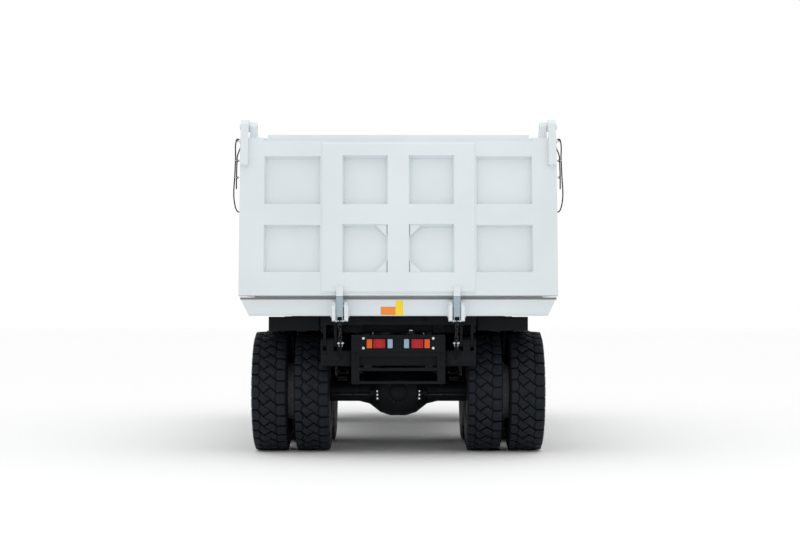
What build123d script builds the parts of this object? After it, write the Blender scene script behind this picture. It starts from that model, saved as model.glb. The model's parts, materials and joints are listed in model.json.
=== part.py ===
"""Wide-body three-axle mining dump truck, as an assembly of separate pieces.

Millimetres, +Z up, the truck faces +Y, and its left side is -X. The origin is on the
ground, at the middle of the truck's length and width.
"""

from build123d import *
import math
import os

os.makedirs("parts", exist_ok=True)

# Sides of the truck: the sign of X
LEFT, RIGHT = -1, 1

# Running clearances
FIT = 0.3            # between pieces that seat on or turn in each other
GAP = 6.0            # between pieces that move past each other

# Wheels
TYRE_RADIUS = 685.0
TYRE_WIDTH = 405.0
TREAD_WIDTH = 372.0
BEAD_RADIUS = 318.0
RIM_WIDTH = 330.0
WHEEL_Z = TYRE_RADIUS
OUTER_WHEEL_X = 1450.0
INNER_WHEEL_X = 972.0
FRONT_WHEEL_X = 1320.0
SPINDLE_RADIUS = 70.0

# Axles, along the truck
REAR_AXLE_Y = -2980.0
BOGIE_SPACING = 1500.0
MIDDLE_AXLE_Y = REAR_AXLE_Y + BOGIE_SPACING
BOGIE_Y = (REAR_AXLE_Y + MIDDLE_AXLE_Y) / 2
FRONT_AXLE_Y = 2420.0
AXLE_TUBE_RADIUS = 120.0
AXLE_TUBE_END_X = 800.0
DIFF_RADIUS = 285.0
NOSE_LENGTH = 330.0
SHAFT_Z = 860.0
GEARBOX_REAR_Y = 1960.0
KINGPIN_X = 1070.0
KINGPIN_RADIUS = 30.0

# Frame rails
RAIL_X = 450.0
RAIL_WIDTH = 100.0
RAIL_TOP_Z = 1340.0
RAIL_DEPTH = 340.0
RAIL_REAR_Y = -3800.0
RAIL_FRONT_Y = 3960.0

# Tail frame and lamp board
TAIL_Y = -3880.0
TAIL_HALF_WIDTH = 517.0
TAIL_FOOT_Z = 800.0
LAMP_BOARD_FOOT_Z = 1155.0
LAMP_BOARD_TOP_Z = 1341.0
LAMP_BOARD_THICKNESS = 30.0

# Bed pivot
PIVOT_Y = -3730.0
PIVOT_Z = 1260.0
PIVOT_PIN_RADIUS = 45.0
PIVOT_EAR_RADIUS = 85.0
EAR_INNER_X = 680.0
EAR_OUTER_X = 800.0
EAR_THICKNESS = 30.0
PIN_INNER_X = 630.0
PIN_OUTER_X = 860.0

# Bed
BED_HALF_WIDTH = 1730.0
BED_WALL = 20.0
BED_POST_DEPTH = 150.0
BED_WALL_X = BED_HALF_WIDTH - BED_POST_DEPTH - BED_WALL
FLOOR_TOP_Z = 1790.0
FLOOR_THICKNESS = 20.0
WALL_TOP_Z = 3490.0
FRONT_FOOT_Y = 1080.0
FRONT_TOP_Y = 1660.0
FRONT_FOOT_Z = 1600.0
LONGERON_FOOT_Z = RAIL_TOP_Z + 20.0
LONGERON_TOP_Z = 1600.0
CROSS_BEAM_TOP_Z = FLOOR_TOP_Z - FLOOR_THICKNESS

# Tailgate, in the plane of its inner face
GATE_FOOT_Y = -4140.0
GATE_FOOT_Z = 1762.0
GATE_LEAN = 7.1
GATE_POST_HEIGHT = (WALL_TOP_Z - GATE_FOOT_Z) / math.cos(math.radians(GATE_LEAN))
GATE_LIP_RISE = 38.0
GATE_HEIGHT = GATE_POST_HEIGHT + GATE_LIP_RISE
GATE_SKIN = 14.0
GATE_LIP_DEPTH = 50.0
GATE_POST_WIDTH = 264.0
GATE_LIP_HALF_WIDTH = BED_HALF_WIDTH - 300.0
GATE_DRAFT = 22.0
GATE_DRAFT_ANGLE = 15.0
GUSSET = 130.0
# low and high edge of each row of cells up the slope, inner and outer |X| of each column
CELL_ROWS = ((251.0, 779.0), (1001.0, 1541.0))
CELL_COLUMNS = ((115.0, 608.0), (845.0, BED_HALF_WIDTH - GATE_POST_WIDTH))
GATE_DEPTH = 80.0
GATE_PROUD_DEPTH = 100.0
GATE_PIN_Y = -3800.0
GATE_PIN_Z = WALL_TOP_Z + 148.0
GATE_PIN_RADIUS = 30.0
GATE_ARM_INNER_X = BED_HALF_WIDTH - 90.0
GATE_ARM_WIDTH = 81.0

# Rear sill and tailgate latches
SILL_REAR_Y = -4160.0
SILL_DEPTH = 100.0
SILL_FOOT_Z = 1550.0
SILL_TOP_Z = 1750.0
SILL_TOP_HALF_WIDTH = BED_HALF_WIDTH - 10.0
SILL_FOOT_HALF_WIDTH = BED_HALF_WIDTH - 110.0
LATCH_X = 633.0
LATCH_WIDTH = 72.0
LATCH_Y = -4240.0
LATCH_PIN_Z = 1660.0
LATCH_FOOT_Z = 1486.0
KEEPER_LENGTH = 102.0
KEEPER_DEPTH = 50.0
SHACKLE_Y = -3970.0
SHACKLE_Z = 1220.0
SHACKLE_PIN_RADIUS = 13.0
LUG_RADIUS = 28.0
LUG_THICKNESS = 20.0

# Front hoist
HOIST_Y = 1700.0
HOIST_FOOT_Z = 1100.0
HOIST_EYE_Z = 3050.0
HOIST_BARREL_TOP_Z = 2880.0
HOIST_RADII = (125.0, 100.0, 80.0, 60.0)
HOIST_EYE_HALF_WIDTH = 65.0
HOIST_STEP = 30.0

# Cab and deck
CAB_LEFT_X = -1560.0
CAB_RIGHT_X = 140.0
CAB_REAR_Y = 2080.0
CAB_FRONT_Y = 3880.0
CAB_FLOOR_Z = 1760.0
CAB_FLOOR_THICKNESS = 60.0
CAB_SILL_Z = 2420.0
CAB_TOP_Z = 3140.0
CAB_WALL = 60.0
CAB_RAKE = 180.0
DOOR_FRONT_Y = CAB_FRONT_Y - 400.0
DOOR_REAR_Y = DOOR_FRONT_Y - 980.0
DOOR_FOOT_Z = 1800.0
DOOR_TOP_Z = 3040.0
DOOR_THICKNESS = 50.0
DOOR_PIN_OFFSET = 24.0
DECK_Z = 1700.0
DECK_THICKNESS = 40.0
DECK_HALF_WIDTH = 1560.0
FENDER_RADIUS = 885.0
FENDER_THICKNESS = 15.0
FENDER_INNER_X = 1110.0
BUMPER_FRONT_Y = 4180.0
TOW_BORE_RADIUS = 30.0
TOW_LUG_RADIUS = 60.0
TOW_LUG_THICKNESS = 40.0
TOW_Y = 4240.0
TOW_Z = 800.0
BUMPER_DEPTH = 200.0
BUMPER_FOOT_Z = 620.0
BUMPER_TOP_Z = 1050.0
BUMPER_HALF_WIDTH = 1500.0


def side_plane(x):
    """A plane facing +X, with Y to its right and Z up."""
    return Plane.YZ.offset(x)


def rear_plane(y):
    """A plane facing the rear, with X to its right and Z up."""
    return Plane.XZ.offset(-y)


def level_plane(z):
    """A plane facing up."""
    return Plane.XY.offset(z)


def axle_plane(y):
    """The upright plane across the truck through a wheel axis: X and radius."""
    return Plane(origin=(0, y, WHEEL_Z), x_dir=(1, 0, 0), z_dir=(0, -1, 0))


def axle_axis(y):
    return Axis((0, y, WHEEL_Z), (1, 0, 0))


def save(piece, label):
    """Label a finished piece and write its own STEP file."""
    piece.part.label = label
    export_step(piece.part, f"parts/{label}.step")


def side_name(side):
    return "left" if side == LEFT else "right"


# Frame and running gear


def frame_rails():
    """Two box rails along the whole truck."""
    with BuildPart() as rails:
        for side in (LEFT, RIGHT):
            with BuildSketch(rear_plane(RAIL_REAR_Y)):
                with Locations((side * RAIL_X, RAIL_TOP_Z - RAIL_DEPTH / 2)):
                    Rectangle(RAIL_WIDTH, RAIL_DEPTH)
            extrude(amount=RAIL_REAR_Y - RAIL_FRONT_Y)
    save(rails, "frame_rails")


def cross_members():
    """The cross tubes between the rails, the hoist's carrier and the deck's outriggers."""
    foot = RAIL_TOP_Z - RAIL_DEPTH
    with BuildPart() as members:
        # cross tubes: Y and Z of the middle, depth along Y, height
        for y, z, depth, height in (
            (RAIL_REAR_Y + 60, foot + 170, 120, 340),
            (BOGIE_Y, foot + 120, 160, 200),
            (-700, foot + 170, 120, 240),
            (700, foot + 170, 120, 240),
            (3760, foot + 42, 360, 84),
        ):
            with BuildSketch(side_plane(0)):
                with Locations((y, z)):
                    Rectangle(depth, height)
            extrude(amount=RAIL_X - RAIL_WIDTH / 2, both=True)
        # hoist carrier: two cheeks under the barrel's eye, joined to the rails
        for side in (LEFT, RIGHT):
            with BuildSketch(side_plane(side * (HOIST_RADII[0] + FIT))):
                with BuildLine():
                    Polyline(
                        (HOIST_Y - 160, foot), (HOIST_Y + 160, foot),
                        (HOIST_Y + 90, HOIST_FOOT_Z + 90), (HOIST_Y - 90, HOIST_FOOT_Z + 90),
                        close=True)
                make_face()
                with Locations((HOIST_Y, HOIST_FOOT_Z)):
                    Circle(40 + FIT, mode=Mode.SUBTRACT)
            extrude(amount=side * (RAIL_X - RAIL_WIDTH / 2 - HOIST_RADII[0] - FIT))
        # deck outriggers on posts
        for y in (1990, FRONT_AXLE_Y, 3500):
            with BuildSketch(rear_plane(y + 40)):
                with Locations((0, DECK_Z - 50)):
                    Rectangle(2 * 1480, 100)
                with Locations((-RAIL_X, (RAIL_TOP_Z + DECK_Z) / 2), (RAIL_X, (RAIL_TOP_Z + DECK_Z) / 2)):
                    Rectangle(80, DECK_Z - RAIL_TOP_Z)
            extrude(amount=80)
    save(members, "cross_members")


def tail_frame():
    """The guard frame behind the rails: a window with two bars, and the lamp board."""
    width = 2 * TAIL_HALF_WIDTH
    board_middle = (LAMP_BOARD_FOOT_Z + LAMP_BOARD_TOP_Z) / 2
    with BuildPart() as tail:
        with BuildSketch(rear_plane(RAIL_REAR_Y)):
            with Locations((0, (TAIL_FOOT_Z + LAMP_BOARD_TOP_Z) / 2)):
                Rectangle(width, LAMP_BOARD_TOP_Z - TAIL_FOOT_Z)
            with Locations((0, (830 + 1103) / 2)):
                Rectangle(2 * 430, 1103 - 830, mode=Mode.SUBTRACT)
            with Locations((0, 960)):
                Rectangle(2 * 430, 34)
        extrude(amount=RAIL_REAR_Y - TAIL_Y)
        with BuildSketch(rear_plane(TAIL_Y)):
            with Locations((0, board_middle)):
                Rectangle(width, LAMP_BOARD_TOP_Z - LAMP_BOARD_FOOT_Z)
        extrude(amount=LAMP_BOARD_THICKNESS)
    save(tail, "tail_frame")


def tail_lamps():
    """Lenses on the lamp board: orange outside, red between, white inside."""
    # inner and outer |X| of each lens
    lenses = ((60, 120), (143, 276), (285, 349))
    with BuildPart() as lamps:
        for side in (LEFT, RIGHT):
            for inner, outer in lenses:
                with BuildSketch(rear_plane(TAIL_Y - LAMP_BOARD_THICKNESS)):
                    with Locations((side * (inner + outer) / 2, 1245)):
                        RectangleRounded(outer - inner, 105, 12)
                extrude(amount=28)
    save(lamps, "tail_lamps")


def hinge_seats():
    """The beam behind the rails with a pin on each side that carries the bed's ears."""
    beam_top = PIVOT_Z - PIVOT_EAR_RADIUS - 10
    lug_inner = EAR_INNER_X + EAR_THICKNESS + 5
    lug_outer = EAR_OUTER_X - 5
    with BuildPart() as seats:
        for side in (LEFT, RIGHT):
            start = side * (RAIL_X + RAIL_WIDTH / 2)
            with BuildSketch(side_plane(start)):
                with Locations((PIVOT_Y, beam_top - 85)):
                    Rectangle(140, 170)
            extrude(amount=side * (PIN_OUTER_X - RAIL_X - RAIL_WIDTH / 2))
            # lug between the bed's ears, and the cheeks at the pin's ends
            for inner, outer in (
                (PIN_INNER_X, EAR_INNER_X - 5), (lug_inner, lug_outer),
                (EAR_OUTER_X + EAR_THICKNESS + 5, PIN_OUTER_X),
            ):
                with BuildSketch(side_plane(side * inner)):
                    with Locations((PIVOT_Y, PIVOT_Z)):
                        Circle(PIVOT_EAR_RADIUS - 5)
                    with Locations((PIVOT_Y, (PIVOT_Z + beam_top) / 2 - 5)):
                        Rectangle(2 * (PIVOT_EAR_RADIUS - 5), PIVOT_Z - beam_top + 10)
                extrude(amount=side * (outer - inner))
            with BuildSketch(side_plane(side * PIN_INNER_X)):
                with Locations((PIVOT_Y, PIVOT_Z)):
                    Circle(PIVOT_PIN_RADIUS)
            extrude(amount=side * (PIN_OUTER_X - PIN_INNER_X))
            # lug of the latch chain, round at the shackle's pin
            with BuildSketch(side_plane(side * (LATCH_X - LUG_THICKNESS / 2))):
                with BuildLine():
                    Polyline(
                        (PIVOT_Y - 60, beam_top), (PIVOT_Y - 60, beam_top - 120),
                        (SHACKLE_Y, SHACKLE_Z - LUG_RADIUS), (SHACKLE_Y, SHACKLE_Z + LUG_RADIUS),
                        close=True)
                make_face()
                with Locations((SHACKLE_Y, SHACKLE_Z)):
                    Circle(LUG_RADIUS)
                    Circle(SHACKLE_PIN_RADIUS + FIT, mode=Mode.SUBTRACT)
            extrude(amount=side * LUG_THICKNESS)
    save(seats, "hinge_seats")


def drive_axles():
    """Two banjo axles: a bell-shaped bowl, two tubes, and spindles for the twin wheels."""
    with BuildPart() as axles:
        for y in (REAR_AXLE_Y, MIDDLE_AXLE_Y):
            with BuildSketch(axle_plane(y)):
                with BuildLine():
                    Polyline(
                        (-1150, 0), (-1150, SPINDLE_RADIUS - FIT),
                        (-930, SPINDLE_RADIUS - FIT), (-930, 205),
                        (-AXLE_TUBE_END_X, 205), (-AXLE_TUBE_END_X, AXLE_TUBE_RADIUS),
                        (-450, AXLE_TUBE_RADIUS), (-330, 150), (-210, 245), (-90, DIFF_RADIUS),
                        (90, DIFF_RADIUS), (210, 245), (330, 150), (450, AXLE_TUBE_RADIUS),
                        (AXLE_TUBE_END_X, AXLE_TUBE_RADIUS), (AXLE_TUBE_END_X, 205),
                        (930, 205), (930, SPINDLE_RADIUS - FIT),
                        (1150, SPINDLE_RADIUS - FIT), (1150, 0), close=True)
                make_face()
            revolve(axis=axle_axis(y))
            # pinion nose in front, and on the middle axle the drive through to the rear
            with BuildSketch(rear_plane(y)):
                with Locations((0, SHAFT_Z)):
                    Circle(95)
            extrude(amount=-NOSE_LENGTH)
            if y == MIDDLE_AXLE_Y:
                with BuildSketch(rear_plane(y)):
                    with Locations((0, SHAFT_Z)):
                        Circle(80)
                extrude(amount=NOSE_LENGTH)
    save(axles, "drive_axles")


def leaf_springs():
    """The bogie's inverted leaf packs on their trunnions, and the front packs."""
    with BuildPart() as springs:
        for side in (LEFT, RIGHT):
            # rear pack, from axle to axle, arched over the trunnion
            with BuildSketch(side_plane(side * 581)):
                with BuildLine():
                    Polyline(
                        (REAR_AXLE_Y - 150, 806), (REAR_AXLE_Y - 150, 870),
                        (BOGIE_Y - 350, 1010), (BOGIE_Y - 150, 1040), (BOGIE_Y + 150, 1040),
                        (BOGIE_Y + 350, 1010), (MIDDLE_AXLE_Y + 150, 870),
                        (MIDDLE_AXLE_Y + 150, 806), (BOGIE_Y + 350, 870),
                        (BOGIE_Y + 150, 860), (BOGIE_Y - 150, 860), (BOGIE_Y - 350, 870),
                        close=True)
                make_face()
            extrude(amount=side * 110)
            # trunnion saddle below the pack, and its shaft to the rail
            with BuildSketch(side_plane(side * 570)):
                with Locations((BOGIE_Y, 770)):
                    Rectangle(300, 190)
            extrude(amount=side * 130)
            with BuildSketch(side_plane(side * 500.0)):
                with Locations((BOGIE_Y, 790)):
                    Circle(90)
            extrude(amount=side * 75)
            with BuildSketch(side_plane(side * 500.0)):
                with Locations((BOGIE_Y, 890)):
                    Rectangle(280, 380)
            extrude(amount=side * 30)
    save(springs, "leaf_springs")


def front_axle():
    """The dropped beam with a boss at each end for the kingpin, and its springs."""
    with BuildPart() as axle:
        with BuildSketch(rear_plane(FRONT_AXLE_Y + 50)):
            with BuildLine():
                Polyline(
                    (-KINGPIN_X, 620), (-KINGPIN_X, 750), (-700, 750), (-560, 700), (560, 700),
                    (700, 750), (KINGPIN_X, 750), (KINGPIN_X, 620), (720, 620), (560, 570),
                    (-560, 570), (-720, 620), close=True)
            make_face()
        extrude(amount=100)
        for side in (LEFT, RIGHT):
            with BuildSketch(level_plane(620)):
                with Locations((side * KINGPIN_X, FRONT_AXLE_Y)):
                    Circle(60)
            extrude(amount=130)
            with BuildSketch(level_plane(620)):
                with Locations((side * KINGPIN_X, FRONT_AXLE_Y)):
                    Circle(KINGPIN_RADIUS + FIT)
            extrude(amount=130, mode=Mode.SUBTRACT)
            # leaf pack, with its hangers up to the rail
            with BuildSketch(side_plane(side * 405)):
                with BuildLine():
                    Polyline(
                        (FRONT_AXLE_Y - 800, 1000), (FRONT_AXLE_Y - 800, 850),
                        (FRONT_AXLE_Y - 300, 740), (FRONT_AXLE_Y - 100, 700),
                        (FRONT_AXLE_Y + 100, 700), (FRONT_AXLE_Y + 300, 740),
                        (FRONT_AXLE_Y + 800, 850), (FRONT_AXLE_Y + 800, 1000),
                        (FRONT_AXLE_Y + 720, 1000), (FRONT_AXLE_Y + 720, 900),
                        (FRONT_AXLE_Y + 300, 820), (FRONT_AXLE_Y - 300, 820),
                        (FRONT_AXLE_Y - 720, 900), (FRONT_AXLE_Y - 720, 1000), close=True)
                make_face()
            extrude(amount=side * 90)
    save(axle, "front_axle")


def knuckle(side):
    """A fork round the beam's boss, its kingpin, and the spindle of the front wheel."""
    arm = 45
    with BuildPart() as body:
        for z in (750 + 5, 620 - 5 - arm):
            with BuildSketch(level_plane(z)):
                with Locations((side * KINGPIN_X, FRONT_AXLE_Y)):
                    Circle(65)
                with Locations((side * (KINGPIN_X + 50), FRONT_AXLE_Y)):
                    Rectangle(100, 130)
            extrude(amount=arm)
        with BuildSketch(level_plane(620 - 5 - arm)):
            with Locations((side * KINGPIN_X, FRONT_AXLE_Y)):
                Circle(KINGPIN_RADIUS)
        extrude(amount=130 + 2 * (arm + 5))
        with BuildSketch(axle_plane(FRONT_AXLE_Y)):
            with BuildLine():
                Polyline(
                    (side * (KINGPIN_X + 66), 0), (side * (KINGPIN_X + 66), 150),
                    (side * (KINGPIN_X + 100), 150), (side * (KINGPIN_X + 100), SPINDLE_RADIUS - FIT),
                    (side * 1350, SPINDLE_RADIUS - FIT), (side * 1350, 0), close=True)
            make_face()
        revolve(axis=axle_axis(FRONT_AXLE_Y))
    save(body, f"knuckle_{side_name(side)}")


def tyre_profile(middle_x):
    """Half of a tyre's section, from bead to bead over the tread."""
    half = TYRE_WIDTH / 2
    tread = TREAD_WIDTH / 2
    bead = RIM_WIDTH / 2 - 5
    Polyline(
        (middle_x - bead, BEAD_RADIUS), (middle_x - half + 18, BEAD_RADIUS + 60),
        (middle_x - half, BEAD_RADIUS + 170), (middle_x - half + 8, TYRE_RADIUS - 70),
        (middle_x - tread, TYRE_RADIUS - 8), (middle_x - tread + 40, TYRE_RADIUS),
        (middle_x + tread - 40, TYRE_RADIUS), (middle_x + tread, TYRE_RADIUS - 8),
        (middle_x + half - 8, TYRE_RADIUS - 70), (middle_x + half, BEAD_RADIUS + 170),
        (middle_x + half - 18, BEAD_RADIUS + 60), (middle_x + bead, BEAD_RADIUS), close=True)


def tyres(label, y, middles):
    """One solid tyre for each place along the axle."""
    with BuildPart() as rubber:
        for middle in middles:
            with BuildSketch(axle_plane(y)):
                with BuildLine():
                    tyre_profile(middle)
                make_face()
            revolve(axis=axle_axis(y))
    save(rubber, label)


def twin_rim(label, y, side):
    """Both rims of a twin wheel, bolted to one hub that turns on the axle's spindle."""
    outer_a, outer_b = OUTER_WHEEL_X - RIM_WIDTH / 2, OUTER_WHEEL_X + RIM_WIDTH / 2
    inner_a, inner_b = INNER_WHEEL_X - RIM_WIDTH / 2, INNER_WHEEL_X + RIM_WIDTH / 2
    lip = BEAD_RADIUS - FIT
    tube = lip - 18
    with BuildPart() as rim:
        with BuildSketch(axle_plane(y)):
            with BuildLine():
                Polyline(
                    (side * 945, SPINDLE_RADIUS), (side * 945, 170), (side * 1180, 170),
                    (side * 1180, 240), (side * inner_b, tube), (side * inner_a, tube),
                    (side * inner_a, lip), (side * inner_b, lip), (side * outer_a, lip),
                    (side * outer_b, lip), (side * outer_b, tube), (side * outer_a, tube),
                    (side * 1230, 240), (side * 1230, 175), (side * 1440, 160), (side * 1480, 120),
                    (side * 1480, 0), (side * 1155, 0), (side * 1155, SPINDLE_RADIUS), close=True)
            make_face()
        revolve(axis=axle_axis(y))
    save(rim, label)


def front_rim(label, side):
    """The single front rim and its hub."""
    a, b = FRONT_WHEEL_X - RIM_WIDTH / 2, FRONT_WHEEL_X + RIM_WIDTH / 2
    lip = BEAD_RADIUS - FIT
    tube = lip - 18
    with BuildPart() as rim:
        with BuildSketch(axle_plane(FRONT_AXLE_Y)):
            with BuildLine():
                Polyline(
                    (side * 1190, SPINDLE_RADIUS), (side * 1190, 150), (side * 1370, 150),
                    (side * 1370, 200), (side * 1350, 240), (side * 1290, tube), (side * a, tube),
                    (side * a, lip), (side * b, lip), (side * b, tube), (side * 1330, tube),
                    (side * 1390, 240), (side * 1400, 200), (side * 1400, 150), (side * 1470, 110),
                    (side * 1470, 0), (side * 1355, 0), (side * 1355, SPINDLE_RADIUS), close=True)
            make_face()
        revolve(axis=axle_axis(FRONT_AXLE_Y))
    save(rim, label)


# Engine, drive line and what hangs on the frame


def engine_block():
    """The engine and gearbox as plain blocks, with feet on the rails."""
    with BuildPart() as engine:
        with BuildSketch(rear_plane(3400)):
            with Locations((0, 1275)):
                Rectangle(720, 650)
            with Locations((0, 1150)):
                Rectangle(2 * (RAIL_X - RAIL_WIDTH / 2 - FIT), 80)
        extrude(amount=3400 - 2500)
        with BuildSketch(rear_plane(2500)):
            with Locations((0, 1040)):
                RectangleRounded(500, 580, 60)
        extrude(amount=2500 - GEARBOX_REAR_Y)
    save(engine, "engine_block")


def prop_shafts():
    """The shafts from gearbox to middle axle and on to the rear axle."""
    with BuildPart() as shafts:
        # start and end Y of each shaft
        for start, end in (
            (GEARBOX_REAR_Y - FIT, MIDDLE_AXLE_Y + NOSE_LENGTH + FIT),
            (MIDDLE_AXLE_Y - NOSE_LENGTH - FIT, REAR_AXLE_Y + NOSE_LENGTH + FIT),
        ):
            with BuildSketch(rear_plane(start)):
                with Locations((0, SHAFT_Z)):
                    Circle(50)
            extrude(amount=start - end)
    save(shafts, "prop_shafts")


def radiator():
    """The radiator core in its frame, behind the grille's upright bars."""
    with BuildPart() as core:
        with BuildSketch(rear_plane(3720)):
            with Locations((0, 1384)):
                Rectangle(2 * 390, 600)
        extrude(amount=120)
        with BuildSketch(rear_plane(3860)):
            with Locations((0, 1384)):
                Rectangle(2 * 395, 600)
                Rectangle(2 * 345, 480, mode=Mode.SUBTRACT)
            with Locations((0, 1384)):
                with GridLocations(76, 0, 9, 1):
                    Rectangle(24, 500)
        extrude(amount=60)
        with BuildSketch(rear_plane(3800)):
            with Locations((-370, 1100), (370, 1100)):
                Rectangle(40, 30)
        extrude(amount=80)
    save(core, "radiator_grille")


def tanks():
    """Fuel tank on the left, hydraulic tank on the right, each on two brackets."""
    with BuildPart() as pair:
        for side in (LEFT, RIGHT):
            with BuildSketch(rear_plane(1350)):
                with Locations((side * 900, 1030)):
                    RectangleRounded(560, 520, 70)
            extrude(amount=1000)
            for y in (1200, 550):
                with BuildSketch(rear_plane(y)):
                    with Locations((side * 565, 1100)):
                        Rectangle(130 - 2 * FIT, 160)
                extrude(amount=60)
    save(pair, "tanks")


def front_bumper():
    """The bumper across the front, bent back at its ends, bored for the tow pins."""
    with BuildPart() as bumper:
        with BuildSketch(level_plane(BUMPER_FOOT_Z)):
            with BuildLine():
                Polyline(
                    (-BUMPER_HALF_WIDTH, BUMPER_FRONT_Y - BUMPER_DEPTH),
                    (-BUMPER_HALF_WIDTH, BUMPER_FRONT_Y - 110),
                    (-BUMPER_HALF_WIDTH + 300, BUMPER_FRONT_Y),
                    (BUMPER_HALF_WIDTH - 300, BUMPER_FRONT_Y),
                    (BUMPER_HALF_WIDTH, BUMPER_FRONT_Y - 110),
                    (BUMPER_HALF_WIDTH, BUMPER_FRONT_Y - BUMPER_DEPTH), close=True)
            make_face()
        extrude(amount=BUMPER_TOP_Z - BUMPER_FOOT_Z)
        for side in (LEFT, RIGHT):
            with BuildSketch(rear_plane(BUMPER_FRONT_Y - BUMPER_DEPTH)):
                with Locations((side * RAIL_X, 1020)):
                    Rectangle(RAIL_WIDTH, 60)
            extrude(amount=BUMPER_FRONT_Y - BUMPER_DEPTH - RAIL_FRONT_Y)
            # bored tow lug in front of the rail
            with BuildSketch(side_plane(side * RAIL_X - TOW_LUG_THICKNESS / 2)):
                with BuildLine():
                    Polyline(
                        (BUMPER_FRONT_Y, TOW_Z - 90), (BUMPER_FRONT_Y, TOW_Z + 90),
                        (TOW_Y, TOW_Z + TOW_LUG_RADIUS), (TOW_Y, TOW_Z - TOW_LUG_RADIUS), close=True)
                make_face()
                with Locations((TOW_Y, TOW_Z)):
                    Circle(TOW_LUG_RADIUS)
                    Circle(TOW_BORE_RADIUS, mode=Mode.SUBTRACT)
            extrude(amount=TOW_LUG_THICKNESS)
    save(bumper, "front_bumper")


def headlamps():
    """A pair of lamps on the bumper's face at each side."""
    with BuildPart() as lamps:
        for side in (LEFT, RIGHT):
            with BuildSketch(rear_plane(BUMPER_FRONT_Y)):
                with Locations((side * 1000, 860)):
                    RectangleRounded(300, 150, 30)
            extrude(amount=-12)
    save(lamps, "headlamps")


# Deck and cab


def deck():
    """The walking deck right of the cab, with a fender over each front wheel."""
    with BuildPart() as plate:
        with BuildSketch(level_plane(DECK_Z)):
            with Locations(((CAB_RIGHT_X + 60 + DECK_HALF_WIDTH) / 2, (1950 + CAB_FRONT_Y) / 2)):
                Rectangle(DECK_HALF_WIDTH - CAB_RIGHT_X - 60, CAB_FRONT_Y - 1950)
        extrude(amount=DECK_THICKNESS)
        for side in (LEFT, RIGHT):
            with BuildSketch(side_plane(side * FENDER_INNER_X)):
                with Locations((FRONT_AXLE_Y, WHEEL_Z)):
                    Circle(FENDER_RADIUS + FENDER_THICKNESS)
                    Circle(FENDER_RADIUS, mode=Mode.SUBTRACT)
                with Locations((FRONT_AXLE_Y, WHEEL_Z - 300)):
                    Rectangle(3 * FENDER_RADIUS, 1200, mode=Mode.SUBTRACT)
            extrude(amount=side * (DECK_HALF_WIDTH - FENDER_INNER_X))
            with BuildSketch(rear_plane(FRONT_AXLE_Y + 40)):
                with Locations((side * 1295, 1590)):
                    Rectangle(330, 20)
            extrude(amount=80)
    save(plate, "deck")


def deck_rails():
    """Handrails round the deck and the steps in front of it."""
    radius = 19
    top = DECK_Z + DECK_THICKNESS + 950
    foot = DECK_Z + DECK_THICKNESS
    right = DECK_HALF_WIDTH - 40
    with BuildPart() as rails:
        with BuildLine():
            FilletPolyline(
                (right, 1990, foot), (right, 1990, top), (right, CAB_FRONT_Y - 60, top),
                (right - 600, CAB_FRONT_Y - 60, top), (right - 600, CAB_FRONT_Y - 60, foot),
                radius=80)
        with BuildSketch(Plane(origin=(right, 1990, foot), x_dir=(1, 0, 0), z_dir=(0, 0, 1))):
            Circle(radius)
        sweep()
    save(rails, "deck_rails")


def ladder():
    """Front steps from the bumper up to the deck."""
    with BuildPart() as steps:
        for x in (1000, 1440):
            with BuildSketch(side_plane(x)):
                with BuildLine():
                    Polyline(
                        (BUMPER_FRONT_Y - 40, BUMPER_TOP_Z), (BUMPER_FRONT_Y - 120, BUMPER_TOP_Z),
                        (CAB_FRONT_Y + FIT, DECK_Z - 60), (CAB_FRONT_Y + FIT, DECK_Z + DECK_THICKNESS),
                        (CAB_FRONT_Y + 60, DECK_Z + DECK_THICKNESS), close=True)
                make_face()
            extrude(amount=20)
        for step in range(3):
            with BuildSketch(side_plane(1020)):
                with Locations((4060 - 62 * step, BUMPER_TOP_Z + 150 + 180 * step)):
                    Rectangle(100, 25)
            extrude(amount=420)
    save(steps, "front_steps")


def cab_profile(inset):
    """The cab's side outline, moved inward by a wall's thickness."""
    rear, front = CAB_REAR_Y + inset, CAB_FRONT_Y - inset
    foot, top = CAB_FLOOR_Z, CAB_TOP_Z
    Polyline(
        (rear, foot), (rear, top), (front - CAB_RAKE, top), (front, CAB_SILL_Z), (front, foot),
        close=True)


def cab_floor():
    with BuildPart() as floor:
        with BuildSketch(level_plane(CAB_FLOOR_Z - CAB_FLOOR_THICKNESS)):
            with Locations(((CAB_LEFT_X + CAB_RIGHT_X) / 2, (CAB_REAR_Y + CAB_FRONT_Y) / 2)):
                Rectangle(CAB_RIGHT_X - CAB_LEFT_X, CAB_FRONT_Y - CAB_REAR_Y)
        extrude(amount=CAB_FLOOR_THICKNESS)
    save(floor, "cab_floor")


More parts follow.
